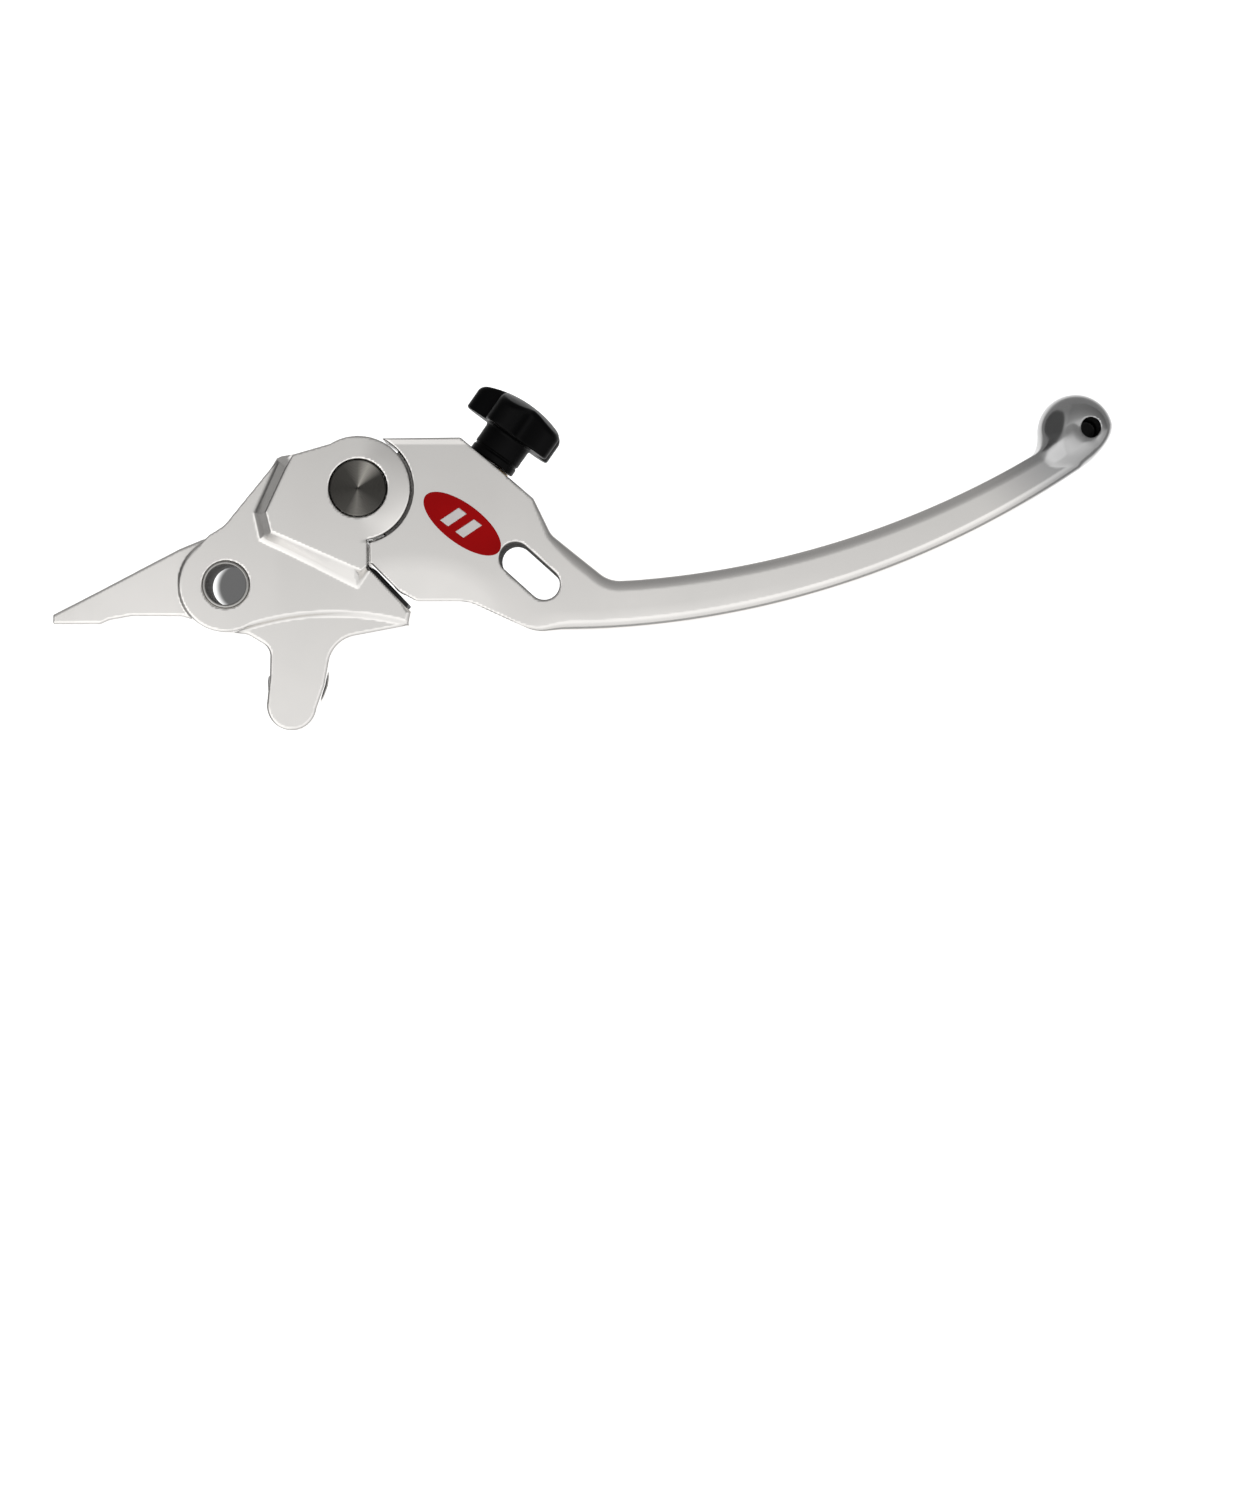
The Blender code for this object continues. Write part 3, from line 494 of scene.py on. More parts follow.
def settle(field, points, step):
    """Moves points along the gradient until they lie on the zero surface."""
    for _ in range(SETTLE_ROUNDS):
        away = slope(field, points, SETTLE_PROBE)
        steepness = np.maximum((away * away).sum(1), 0.05)
        move = away * (field(*points.T) / steepness)[:, None]
        far = np.linalg.norm(move, axis=1)
        points = points - move * np.minimum(1, LONGEST_MOVE * step / np.maximum(far, 1e-9))[:, None]
    return points


def relax(points, quads):
    """Moves each point halfway to the mean of its neighbours, which evens the net out."""
    total = np.zeros_like(points)
    count = np.zeros(len(points))
    for a in range(4):
        for b in ((a + 1) % 4, (a + 3) % 4):
            np.add.at(total, quads[:, a], points[quads[:, b]])
            np.add.at(count, quads[:, a], 1)
    return (points + total / np.maximum(count, 1)[:, None]) / 2


def show(name, mesh):
    thing = bpy.data.objects.new(name, mesh)
    bpy.context.scene.collection.objects.link(thing)
    return thing


def carve_out(name, field, low, high, step):
    """A piece from a distance field, its mesh on the field's surface and shaded by its slope."""
    points, quads = net(field, low, high, step)
    points = settle(field, points, step)
    points = settle(field, relax(points, quads), step)
    mesh = bpy.data.meshes.new(name)
    mesh.from_pydata((points * MM).tolist(), [], quads.tolist())
    mesh.shade_smooth()
    facing = slope(field, points, NORMAL_PROBE)
    facing /= np.maximum(np.linalg.norm(facing, axis=1), 1e-6)[:, None]
    mesh.normals_split_custom_set_from_vertices(facing.tolist())
    return show(name, mesh)


def lathe(name, profile, place, sides=96):
    """A turned piece about its own Z, closed, from a profile of (radius, height) points in order."""
    mesh = bpy.data.meshes.new(name)
    count = len(profile)
    points, faces = [], []
    for i in range(sides):
        turn = Matrix.Rotation(2 * math.pi * i / sides, 4, "Z")
        here, there = i * count, (i + 1) % sides * count
        for j, (radius, height) in enumerate(profile):
            points.append(place @ (turn @ Vector((radius, 0, height))) * MM)
            k = (j + 1) % count
            faces.append((here + j, there + j, there + k, here + k))
    mesh.from_pydata(points, [], faces)
    mesh.validate()
    mesh.shade_smooth()
    mesh.set_sharp_from_angle(angle=SHARP_ANGLE)
    return show(name, mesh)


def eased(profile, radius):
    """A closed profile with every corner rounded, to less where its sides are short."""
    steps, longest = 4, 0.45  # points round a corner, and how much of a side it may take
    out = []
    count = len(profile)
    for i, point in enumerate(profile):
        here = Vector(point)
        back, ahead = Vector(profile[i - 1]) - here, Vector(profile[(i + 1) % count]) - here
        reach = min(radius, back.length * longest, ahead.length * longest)
        start, end = here + back.normalized() * reach, here + ahead.normalized() * reach
        for j in range(steps + 1):
            t = j / steps
            out.append(tuple(start.lerp(here, t).lerp(here.lerp(end, t), t)))
    return out


# ---- the base ----

TAIL = Outline(
    (-35.0, -5.9), (-35.0, -7.8), (-25.4, -7.8), (-23.6, -7.0), (-19.0, -6.2), (-9.0, -6.3),
    (-3.0, -8.0), (0.0, 0.0), (-2.0, 10.2), (-9.3, 7.2),
)
ARM = Outline(
    (-8.0, 5.0), (-3.3, 9.9), (-0.3, 11.8, 6.0), (10.9, 25.6, 0.8), (15.0, 26.0), (20.0, 20.0),
    (28.2, 8.4), (28.2, 3.7), (36.9, -5.4), arc_through((36.4, -8.0), (19.0, -6.0), (4.0, -8.7)),
    (0.0, -9.0),
)
FINGER = Outline(
    (0.0, 0.0), (0.0, -9.5), (4.2, -9.9, 3.0), (8.7, -12.6, 3.0), (8.6, -18.0),
    arc((13.0, -24.1), 5.0, 172, 352), (19.6, -20.0), (21.2, -11.0, 6.4), (36.4, -8.1), (36.0, -7.0),
    (20.0, 0.0),
)

# The cheeks' corners at their outer faces, and how far each moves on the way down to the arm
CHEEK_CORNERS = [
    ((13.6, 25.7), (-3.5, -0.5)),
    ((8.3, 14.3), (-3.0, 0)),
    ((9.3, 10.4), (-2.8, -1.6)),
    ((27.2, 2.6), (-0.9, -2.9)),
    ((28.4, 3.6), (0, -0.6)),
]


def cheek_outline(spread):
    """The cheeks' outline: spread 0 at their outer faces and 1 where they meet the arm."""
    corners = [(x + dx * spread, y + dy * spread) for (x, y), (dx, dy) in CHEEK_CORNERS]
    return Outline(arc(PIN, CHEEK_RADIUS, -80, 122), *corners)


CHEEK_TOP = cheek_outline(0)
CHEEK_FOOT = cheek_outline(1)
SLOT_MOUTH = Outline((20.0, 20.0), (17.0, 24.9), (14.8, 30.0), (30.0, 34.0))


def lug_place():
    """X along the stop face from its inner end, Z out of it."""
    inner, outer = Vector((*LUG_INNER, 0)), Vector((*LUG_OUTER, 0))
    along = (outer - inner).normalized()
    out = Vector((-along.y, along.x, 0))
    place = Matrix((along, out.cross(along), out)).transposed().to_4x4()
    place.translation = inner
    return place


LUG = lug_place()
CHEEK_RING = 8.3  # radius inside which the cheek's face is flat
CHEEK_RING_FALL = 0.07
CHEEK_RING_TURN = (0.0, 0.7)
CHEEK_RING_SOFTNESS = 0.2
MACHINED_EDGE = 0.25
ARM_LOWER_EDGE = 0.9
ARM_EDGE_CHANGE = (-6, -3)  # where along Y the one edge turns into the other
ARM_TAPER_END = 26
TAIL_TAPER = (-31, -8)
CAST_EDGE = 0.5
CAST_FILLET = 0.5
FINGER_EDGE = 0.6
TAIL_FILLET = 0.3
BUSH_SEAT_GAP = 0.02
SCREW_BORE_EDGE = 0.4


def cheeks(x, y, z):
    """Both cheeks, with sides that lean out to the arm and a faint bevel round the pin."""
    lean = np.clip((CHEEK_HALF - np.abs(z)) / (CHEEK_HALF - ARM_HALF), 0, 1)
    side = CHEEK_TOP.distance(x, y)
    side = between(side, CHEEK_FOOT.distance(x, y), lean)
    out = disc(x, y, PIN, 0)
    towards_tip = smooth((x - PIN[0]) / np.maximum(out, 0.01), *CHEEK_RING_TURN)
    bevel = CHEEK_RING_FALL * towards_tip * (out - CHEEK_RING)
    face = np.abs(z) - CHEEK_HALF
    return meet(side, blend_down(face, face + bevel, CHEEK_RING_SOFTNESS), MACHINED_EDGE)


def base_field(x, y, z):
    height = np.abs(z)
    arm_half = between(BOSS_HALF, ARM_HALF, smooth(x, BOSS_RADIUS, ARM_TAPER_END))
    tail_half = TAIL_HALF + TAIL_RISE * smooth(x, *TAIL_TAPER)
    arm_edge = between(ARM_LOWER_EDGE, MACHINED_EDGE, smooth(y, *ARM_EDGE_CHANGE))
    body = meet(ARM.distance(x, y), height - arm_half, arm_edge)
    body = np.minimum(body, meet(disc(x, y, (0, 0), BOSS_RADIUS), height - BOSS_HALF, CAST_EDGE))
    body = fuse(body, meet(FINGER.distance(x, y), height - FINGER_HALF, FINGER_EDGE), CAST_FILLET)
    body = fuse(body, meet(TAIL.distance(x, y), height - tail_half, CAST_EDGE), TAIL_FILLET)
    body = fuse(body, cheeks(x, y, z), CAST_FILLET)
    slot = np.minimum(disc(x, y, PIN, FORK_SLOT_RADIUS), SLOT_MOUTH.distance(x, y))
    counterbore = meet(disc(x, y, PIN, COUNTERBORE), COUNTERBORE_FLOOR - height, SHARP)
    bore = np.maximum(np.hypot(y - SET_SCREW_Y, z) - SET_SCREW_RADIUS - SCREW_GAP, -x)
    lx, ly, lz = into(x, y, z, LUG)
    low = (PAD_START - GAP, -PAD_HALF - GAP, -PAD_SUNK - GAP)
    high = (PAD_START + PAD_LENGTH + GAP, PAD_HALF + GAP, PAD_SEAT_TOP)
    peg = (PAD_START + PAD_LENGTH / 2, 0)
    peg_hole = pillar(lx, ly, lz, peg, PAD_PEG + SCREW_GAP, -PAD_PEG_DEPTH - GAP, 0, SHARP)
    return carve_all(
        body,
        (meet(slot, height - SLOT_HALF, SOFT), SOFT),
        (disc(x, y, (0, 0), PERCH_BUSH_OUTER + BUSH_SEAT_GAP) + 0 * z, SOFT),
        (disc(x, y, PIN, PIN_HOLE) + 0 * z, FINE),
        (counterbore, SOFT),
        (bore, SCREW_BORE_EDGE),
        (brick(lx, ly, lz, low, high, FINE), NEAT),
        (peg_hole, SHARP),
    )


def wear_pad_field(x, y, z):
    x, y, z = into(x, y, z, LUG)
    low = (PAD_START, -PAD_HALF, -PAD_SUNK)
    high = (PAD_START + PAD_LENGTH, PAD_HALF, PAD_PROUD)
    strip = brick(x, y, z, low, high, SOFT)
    peg = pillar(x, y, z, (PAD_START + PAD_LENGTH / 2, 0), PAD_PEG, -PAD_PEG_DEPTH, 0, FINE)
    return fuse(strip, peg, FINE)


def set_screw_field(x, y, z):
    """A threaded grub screw with a flat tip towards the piston and a hexagon socket."""
    along = x - SET_SCREW_TIP_X
    length = SET_SCREW_END_X - SET_SCREW_TIP_X
    y = y - SET_SCREW_Y
    out = np.hypot(y, z)
    body = thread(y, z, along, SET_SCREW_RADIUS, *SET_SCREW_THREAD)
    body = blend_down(body, along - length, SHARP)
    chamfer = (out - SET_SCREW_RADIUS + along - length + SET_SCREW_CHAMFER) * math.sqrt(0.5)
    body = np.maximum(blend_down(body, chamfer, SHARP), SET_SCREW_POINT_END - along)
    tip = np.maximum(np.maximum(out - SET_SCREW_POINT, -along), along - SET_SCREW_POINT_ROOT)
    return sink(blend_up(body, tip, SHARP), y, z, length - along, SET_SCREW_SOCKET)


# ---- the blade ----

GRIP_REAR = ((67.0, -9.2), (112.7, -3.2), (171.0, 23.4))
GRIP_FRONT = ((163.0, 27.0), (126.7, 10.2), (81.0, 1.0))
BLADE = Outline(
    arc(PIN, SHOULDER_RADIUS, 65.2, -78), (28.9, 4.3), (34.6, -1.3), (38.3, -3.4), (48.5, -3.4, 9.0),
    (62.0, -9.6, 8.0), arc_through(*GRIP_REAR), (174.5, 27.5), (169.0, 31.0), arc_through(*GRIP_FRONT),
    (76.6, 0.8, 6.0), (65.0, 10.0, 4.0), (61.5, 17.1, 1.5), (46.9, 29.2),
)
THICKNESS_AT = [20, 57, 66, 76, 86, 180]
THICKNESS = [8.0, 8.0, 7.1, 6.0, 5.6, 4.9]
HEAD_EDGE = 0.25
REAR_EDGE = 2.0
FRONT_EDGE = 0.6
FRONT_BEVEL = 0.85
REAR_CROWN = 0.004
REAR_CROWN_REACH = 4
REAR_CROWN_END = (95, 125)
BEVEL_SLOPE = 0.8
CREASE_SOFTNESS = (0.05, 0.85)  # on the head, and what the grip adds to it
GRIP_START = (57, 70)
GRIP_SIDES = (-2.5, 2.5)  # how wide the change is between the grip's rear and its front
TOP_LIP_Y = 27.8
TOP_LIP_RISE = 0.05
TOP_LIP_END = 60
FACET = circle_through((41.8, 4.2), (49.0, 1.9), (59.0, -6.7))
FACET_FALL = 0.025
FACET_END = (50, 62)
NECK_REACH = 2
NECK_FACING = math.radians(-8.5)
NECK_SPREAD = math.radians(53.5)
FILLET_CHANGE = (0, 4)
WINDOW_EDGE = 0.35


def adjuster_place():
    """Z outwards along the spindle, Y downwards, origin on the blade's sloped face."""
    angle = math.radians(ADJUSTER_ANGLE)
    s, c = math.sin(angle), math.cos(angle)
    return Matrix(((s, 0, c, ADJUSTER[0]), (-c, 0, s, ADJUSTER[1]), (0, -1, 0, 0), (0, 0, 0, 1)))


ADJUST = adjuster_place()


def blade_half(x):
    """Half the blade's thickness along its length, with the steps between its slopes softened."""
    reach = (-3, -1.5, 0, 1.5, 3)
    return sum(np.interp(x + offset, THICKNESS_AT, THICKNESS) for offset in reach) / len(reach)


def window_distance(x, y):
    tilt = math.radians(WINDOW_TILT)
    start, end = on_circle(WINDOW, -WINDOW_REACH, tilt), on_circle(WINDOW, WINDOW_REACH, tilt)
    return line_distance(x, y, start, end) - WINDOW_RADIUS


def ball_field(x, y, height):
    """The ball, with a flat on its face, one on its inner side and one towards the rear."""
    x, y = x - BALL[0], y - BALL[1]
    ball = np.sqrt(x * x + y * y + height * height) - BALL_RADIUS
    for (ax, ay, az), reach, softness in BALL_FLATS:
        ball = blend_down(ball, x * ax + y * ay + height * az - reach, softness)
    return ball


def depth_inside(x, y, points, outside):
    """How far a point lies inside an edge of the grip: outside or within the edge's circle."""
    return outside * disc(x, y, *circle_through(*points))


def grip_front(x, y):
    """1 along the front of the grip and 0 along its rear."""
    behind = depth_inside(x, y, GRIP_REAR, -1)
    ahead = depth_inside(x, y, GRIP_FRONT, 1)
    return smooth(behind - ahead, *GRIP_SIDES)


def blade_field(x, y, z):
    height = np.abs(z)
    side = BLADE.distance(x, y)
    on_grip = smooth(x, *GRIP_START)
    front = grip_front(x, y)
    edge = between(HEAD_EDGE, between(REAR_EDGE, FRONT_EDGE, front), on_grip)
    face = height - blade_half(x)
    bevel = (face + BEVEL_SLOPE * (side + FRONT_BEVEL * front * on_grip)) / math.hypot(BEVEL_SLOPE, 1)
    crown = REAR_CROWN * (1 - front) * np.maximum(side + REAR_CROWN_REACH, 0) ** 2
    crown = crown * on_grip * (1 - smooth(x, *REAR_CROWN_END))
    facet = FACET_FALL * disc(x, y, *FACET) * (1 - smooth(x, *FACET_END))
    face = blend_down(face, face - facet, CREASE_SOFTNESS[0])
    face = face - TOP_LIP_RISE * np.maximum(y - TOP_LIP_Y, 0) * (x < TOP_LIP_END)
    softness = CREASE_SOFTNESS[1] * on_grip + CREASE_SOFTNESS[0]
    body = meet(side, blend_down(face + crown, bevel, softness), edge)
    forward = smooth(depth_inside(x, y, GRIP_REAR, -1), *FILLET_CHANGE)
    body = fuse(body, ball_field(x, y, height), between(BALL_REAR_FILLET, BALL_FILLET, forward))
    tongue = meet(disc(x, y, PIN, TONGUE_RADIUS), height - TONGUE_HALF, SOFT)
    angle = np.arctan2(y - PIN[1], x - PIN[0])
    neck = np.maximum(disc(x, y, PIN, SHOULDER_RADIUS + NECK_REACH), height - TONGUE_HALF)
    neck = np.maximum(neck, (np.abs(angle - NECK_FACING) - NECK_SPREAD) * TONGUE_RADIUS)
    body = np.minimum(body, np.minimum(tongue, neck))
    tip = meet(disc(x, y, TIP_HOLE, TIP_HOLE_RADIUS), TIP_HOLE_FLOOR - z, SOFT)
    pocket = meet(disc(x, y, PIN, SPRING_POCKET), SPRING_POCKET_FLOOR - z, FINE)
    ax, ay, az = into(x, y, z, ADJUST)
    out = np.hypot(ax, ay)
    wide = np.maximum(out - BUSH_BORE, BUSH_BORE_FLOOR - az)
    narrow = np.maximum(out - PLUNGER_BORE, az - PLUNGER_BORE_TOP)
    guide = np.maximum(np.hypot(ax, az - GUIDE_Z) - GUIDE_SCREW - SCREW_GAP, KEYWAY_FLOOR - ay)
    return carve_all(
        body,
        (window_distance(x, y) + 0 * z, WINDOW_EDGE),
        (tip, SOFT),
        (disc(x, y, PIN, TONGUE_BORE) + 0 * z, FINE),
        (pocket, FINE),
        (np.minimum(wide, narrow), FINE),
        (guide, FINE),
    )


# ---- the knob and the adjuster ----

KNOB_DOME = ((KNOB_LOBE_OUTER**2) / (KNOB_TOP - KNOB_SHOULDER) + KNOB_TOP - KNOB_SHOULDER) / 2


def knob_field(x, y, z):
    """A domed star knob with a round shank. The lobes are cut square and eased at their edges."""
    x, y, z = into(x, y, z, ADJUST)
    out = np.hypot(x, y)
    wave = np.cos(KNOB_LOBES * (np.arctan2(y, x) + math.pi))
    middle, swing = (KNOB_LOBE_OUTER + KNOB_LOBE_INNER) / 2, (KNOB_LOBE_OUTER - KNOB_LOBE_INNER) / 2
    lobes = swing * wave * (1 + KNOB_LOBE_PINCH - KNOB_LOBE_PINCH * wave)
    star = (out - middle - lobes) * KNOB_LOBE_EASE
    dome = np.hypot(out, z - KNOB_TOP + KNOB_DOME) - KNOB_DOME
    cap = meet(meet(star, dome, KNOB_LOBE_EDGE), KNOB_CAP_BOTTOM - z, KNOB_CAP_EDGE)
    shank = meet(out - KNOB_SHANK, slab(z, KNOB_FOOT, KNOB_CAP_BOTTOM + 1), SOFT)
    knob = fuse(cap, shank, KNOB_CAP_FILLET)
    groove = np.hypot(out - KNOB_SHANK - TIGHT_GAP, z - KNOB_GROOVE[0]) - KNOB_GROOVE[1]
    knob = carve(knob, groove, SHARP)
    knob = carve(knob, np.maximum(out - SPINDLE_RADIUS - SCREW_GAP, z - KNOB_BORE_END), NEAT)
    hole = np.hypot(y, z - ROLL_PIN_Z) - ROLL_PIN - TIGHT_GAP
    return carve(knob, np.maximum(hole, np.abs(x) - ROLL_PIN_HOLE_HALF), ROLL_PIN_EDGE)


def plunger_field(x, y, z):
    """A sleeve with a domed end, a keyway along its lower side and a drilling for the spindle."""
    x, y, z = into(x, y, z, ADJUST)
    out = np.hypot(x, y)
    dome = np.sqrt(out * out + (z - PLUNGER_DOME_CENTRE) ** 2) - PLUNGER_DOME
    end = np.where(z < PLUNGER_DOME_CENTRE, dome, z - PLUNGER_TOP)
    body = meet(out - PLUNGER_RADIUS, end, PLUNGER_EDGE)
    body = carve(body, np.maximum(out - PLUNGER_DRILLING, PLUNGER_DRILLING_END - z), NEAT)
    low = (-GUIDE_POINT - GAP, KEYWAY_FLOOR, KEYWAY_BOTTOM)
    high = (GUIDE_POINT + GAP, KEYWAY_MOUTH, KEYWAY_TOP)
    return carve(body, brick(x, y, z, low, high, SOFT), SHARP)


def guide_screw_field(x, y, z):
    """A small socket screw, screwed up into the blade, whose point runs in the plunger's keyway."""
    x, y, z = into(x, y, z, ADJUST)
    z = z - GUIDE_Z
    top = HEAD_HALF - GAP
    body = thread(z, x, y, GUIDE_SCREW, *SMALL_THREAD)
    body = meet(body, slab(y, GUIDE_THREAD_END, top), NEAT)
    ends = slab(y, KEYWAY_FLOOR + GAP, GUIDE_POINT_ROOT)
    point = meet(np.hypot(x, z) - GUIDE_POINT, ends, SHARP)
    return sink(fuse(body, point, SHARP), x, z, top - y, GUIDE_SOCKET)


def pin_screw_field(x, y, z):
    """The button-headed screw that closes the fold pin from below."""
    x, y = x - PIN[0], y - PIN[1]
    out = np.hypot(x, y)
    under, crown, shank_end = [-COUNTERBORE_FLOOR - depth for depth in PIN_SCREW_DEPTHS]
    dome = np.hypot(out, z - crown - PIN_SCREW_DOME) - PIN_SCREW_DOME
    head = meet(meet(out - PIN_SCREW_HEAD, dome, SOFT), z - under, NEAT)
    shank = thread(x, y, z, PIN_SCREW, *SMALL_THREAD)
    shank = np.maximum(shank, slab(z, under - SHARP, shank_end))
    return sink(np.minimum(head, shank), x, y, z - crown, PIN_SCREW_SOCKET)


# ---- badge ----

BADGE = (47.3, 12.0)
BADGE_HALF_LENGTH = 9.2
BADGE_HALF_WIDTH = 3.9
BADGE_TILT = -37
BADGE_PROUD = 0.12
BADGE_SUNK = 0.2
BARS_PROUD = 0.15
BARS_ALONG = (-2.2, 1.6)
BARS_SLANT = 0.35
BAR_HALF_WIDTH = 1.0
BAR_HALF_LENGTH = 2.1
BAR_GAP = 0.04
OVAL_EDGE = 0.06
BAR_EDGE = 0.05
BADGE_STEP = 0.1


def in_badge(x, y):
    """Along and across the badge's long axis."""
    tilt = math.radians(BADGE_TILT)
    x, y = x - BADGE[0], y - BADGE[1]
    return x * math.cos(tilt) + y * math.sin(tilt), y * math.cos(tilt) - x * math.sin(tilt)


def badge_oval(along, across):
    ratio = np.hypot(along / BADGE_HALF_LENGTH, across / BADGE_HALF_WIDTH)
    steep = np.hypot(along / BADGE_HALF_LENGTH**2, across / BADGE_HALF_WIDTH**2)
    return ratio * (ratio - 1) / np.maximum(steep, 1e-6)


def badge_bars(along, across):
    """Two plain slanting bars across the middle of the oval."""
    slant = along - BARS_SLANT * across
    sides = [np.abs(slant - place) - BAR_HALF_WIDTH for place in BARS_ALONG]
    return np.maximum(np.minimum(*sides), np.abs(across) - BAR_HALF_LENGTH)


def raised(shape, z, proud, edge):
    """A flat shape on the blade's upper face."""
    return meet(shape, slab(z, HEAD_HALF - BADGE_SUNK, HEAD_HALF + proud), edge)


def badge_field(x, y, z):
    along, across = in_badge(x, y)
    oval = raised(badge_oval(along, across), z, BADGE_PROUD, OVAL_EDGE)
    return np.maximum(oval, -badge_bars(along, across))


def badge_bar_field(x, y, z):
    return raised(badge_bars(*in_badge(x, y)) + BAR_GAP, z, BARS_PROUD, BAR_EDGE)


# ---- finishes ----

# Painted highlights and shade on a turned face: how its tone changes once round it, from its left side
# through its lower side
TURNED_PAINTED_HIGHLIGHTS = [
    (0, 0.27), (0.17, 0.32), (0.24, 0.95), (0.31, 0.5), (0.42, 0.27), (0.58, 0.27), (0.68, 1.9),
    (0.75, 0.7), (0.85, 0.3), (1, 0.27),
]
# Painted shade: a dark colour laid in the joint round the fold pin, in the stop's gap and on the walls
# of bores and the window
PAINTED_SHADE = (0.1, 0.095, 0.09)
SHADE_RING_RADIUS = (CHEEK_RADIUS + SHOULDER_RADIUS) / 2
SHADE_RING_FADE = (0.1, 0.55)
SHADE_RING_STRENGTH = 0.8
GAP_STRETCH = ((32.7, -0.2), 5.1, -46)  # the middle, half-length and tilt of the stop's gap
GAP_SHADE_REACH = 0.6
GAP_SHADE_FADE = (0, 0.25)
BORE_SHADE_FADE = (0.05, 0.3)
WINDOW_SHADE_FADE = (0.05, 0.35)
BUSH_SHADE_FADE = (0.02, 0.25)
NOISE_SPAN = (0.3, 0.7)  # the middle of a noise's range
SLOW_DRIFT = 90  # of tone, per metre
# Painted shade that makes the tip's hole black
TIP_HOLE_SHADE = (0.01, 0.01, 0.01)
TIP_HOLE_FADE = (-0.1, 0.1)
TIP_HOLE_END = (-4, -3)  # the heights where the black ends, above the ball's underside


def add_node(tree, kind, output, inputs=None, **settings):
    """A new shader node's output. Each input is given a plain value or another node's output."""
    node = tree.nodes.new("ShaderNode" + kind)
    for name, value in settings.items():
        setattr(node, name, value)
    for name, value in (inputs or {}).items():
        if isinstance(value, bpy.types.NodeSocket):
            tree.links.new(value, node.inputs[name])
        else:
            node.inputs[name].default_value = value
    return node.outputs[output]


def handles(material):
    """What the helpers below build on: a material's node tree, its shader and object coordinates."""
    tree = material.node_tree
    place = next(node for node in tree.nodes if node.type == "TEX_COORD")
    return tree, tree.nodes["Principled BSDF"], place.outputs["Object"]


def finish_nodes(name, colour, roughness, metallic):
    """A new material and its handles."""
    material = bpy.data.materials.new(name)
    material.use_nodes = True
    add_node(material.node_tree, "TexCoord", "Object")
    tree, shader, place = handles(material)
    shader.inputs["Base Color"].default_value = (*colour, 1)
    shader.inputs["Roughness"].default_value = roughness
    shader.inputs["Metallic"].default_value = metallic
    return material, tree, shader, place


def math_node(tree, operation, *values):
    return add_node(tree, "Math", "Value", dict(enumerate(values)), operation=operation)


def noise(tree, place, per_metre, detail):
    inputs = {"Vector": place, "Scale": per_metre, "Detail": detail}
    return add_node(tree, "TexNoise", "Fac", inputs)


def ramp_node(tree, value, span, ends, kind="SMOOTHSTEP"):
    """Moves from one end value to the other as a value crosses a span."""
    names = ("From Min", "From Max", "To Min", "To Max")
    inputs = dict(zip(names, (*span, *ends)), Value=value)
    return add_node(tree, "MapRange", "Result", inputs, interpolation_type=kind)


def lay(tree, shader, mask, below, colour):
    """Colours a finish: as below where a mask is 0, and with a colour where it is 1."""
    inputs = {"Factor": mask, "A": below, "B": (*colour, 1)}
    mixed = add_node(tree, "Mix", "Result", inputs, data_type="RGBA")
    tree.links.new(mixed, shader.inputs["Base Color"])


def shade(tree, shader, mask, colour):
    """Lays a darker tone over a finish where a mask is 1."""
    lay(tree, shader, mask, shader.inputs["Base Color"].links[0].from_socket, colour)


def paint_shade(tree, shader, mask):
    """Lays painted shade over a finish where a mask is 1: a dark colour, with the finish made rough and
    less metallic there.
    """
    shade(tree, shader, mask, PAINTED_SHADE)
    roughness, metallic = shader.inputs["Roughness"], shader.inputs["Metallic"]
    tree.links.new(math_node(tree, "MAXIMUM", roughness.links[0].from_socket, mask), roughness)
    before = metallic.links[0].from_socket if metallic.is_linked else metallic.default_value
    unshaded = math_node(tree, "SUBTRACT", 1.0, mask)
    tree.links.new(math_node(tree, "MULTIPLY", before, unshaded), metallic)


def edge_mask(tree, out, radius, fade, strength=1):
    """A mask that ends at a radius, and fades over a span of distances from it."""
    return ramp_node(tree, out, [(radius + reach) * MM for reach in fade], (strength, 0))


def distance_node(tree, place, centre, across=(1, 1, 0)):
    """How far a point is from an axis through a centre in metres, measured across that axis."""
    moved = add_node(tree, "Mapping", "Vector", {"Location": [-c for c in centre], "Vector": place})
    flat = add_node(tree, "VectorMath", "Vector", {0: moved, 1: across}, operation="MULTIPLY")
    return add_node(tree, "VectorMath", "Value", {0: flat}, operation="LENGTH")


def along_axis(tree, place, axis):
    return add_node(tree, "SeparateXYZ", axis, {"Vector": place})


def stretch_node(tree, place, middle, half, tilt):
    """How far a point is, seen along Z, from a straight stretch given in millimetres and degrees."""
    inputs = {"Location": in_metres(middle), "Rotation": (0, 0, math.radians(tilt)), "Vector": place}
    turned = add_node(tree, "Mapping", "Vector", inputs, vector_type="TEXTURE")
    from_middle = math_node(tree, "ABSOLUTE", along_axis(tree, turned, "X"))
    past_end = math_node(tree, "MAXIMUM", math_node(tree, "SUBTRACT", from_middle, half * MM), 0.0)
    beside = along_axis(tree, turned, "Y")
    squares = [math_node(tree, "MULTIPLY", value, value) for value in (past_end, beside)]
    return math_node(tree, "SQRT", math_node(tree, "ADD", *squares))


def in_metres(point):
    return point[0] * MM, point[1] * MM, 0


def relief(tree, shader, height, strength, depth):
    inputs = {"Strength": strength, "Distance": depth, "Height": height}
    tree.links.new(add_node(tree, "Bump", "Normal", inputs), shader.inputs["Normal"])


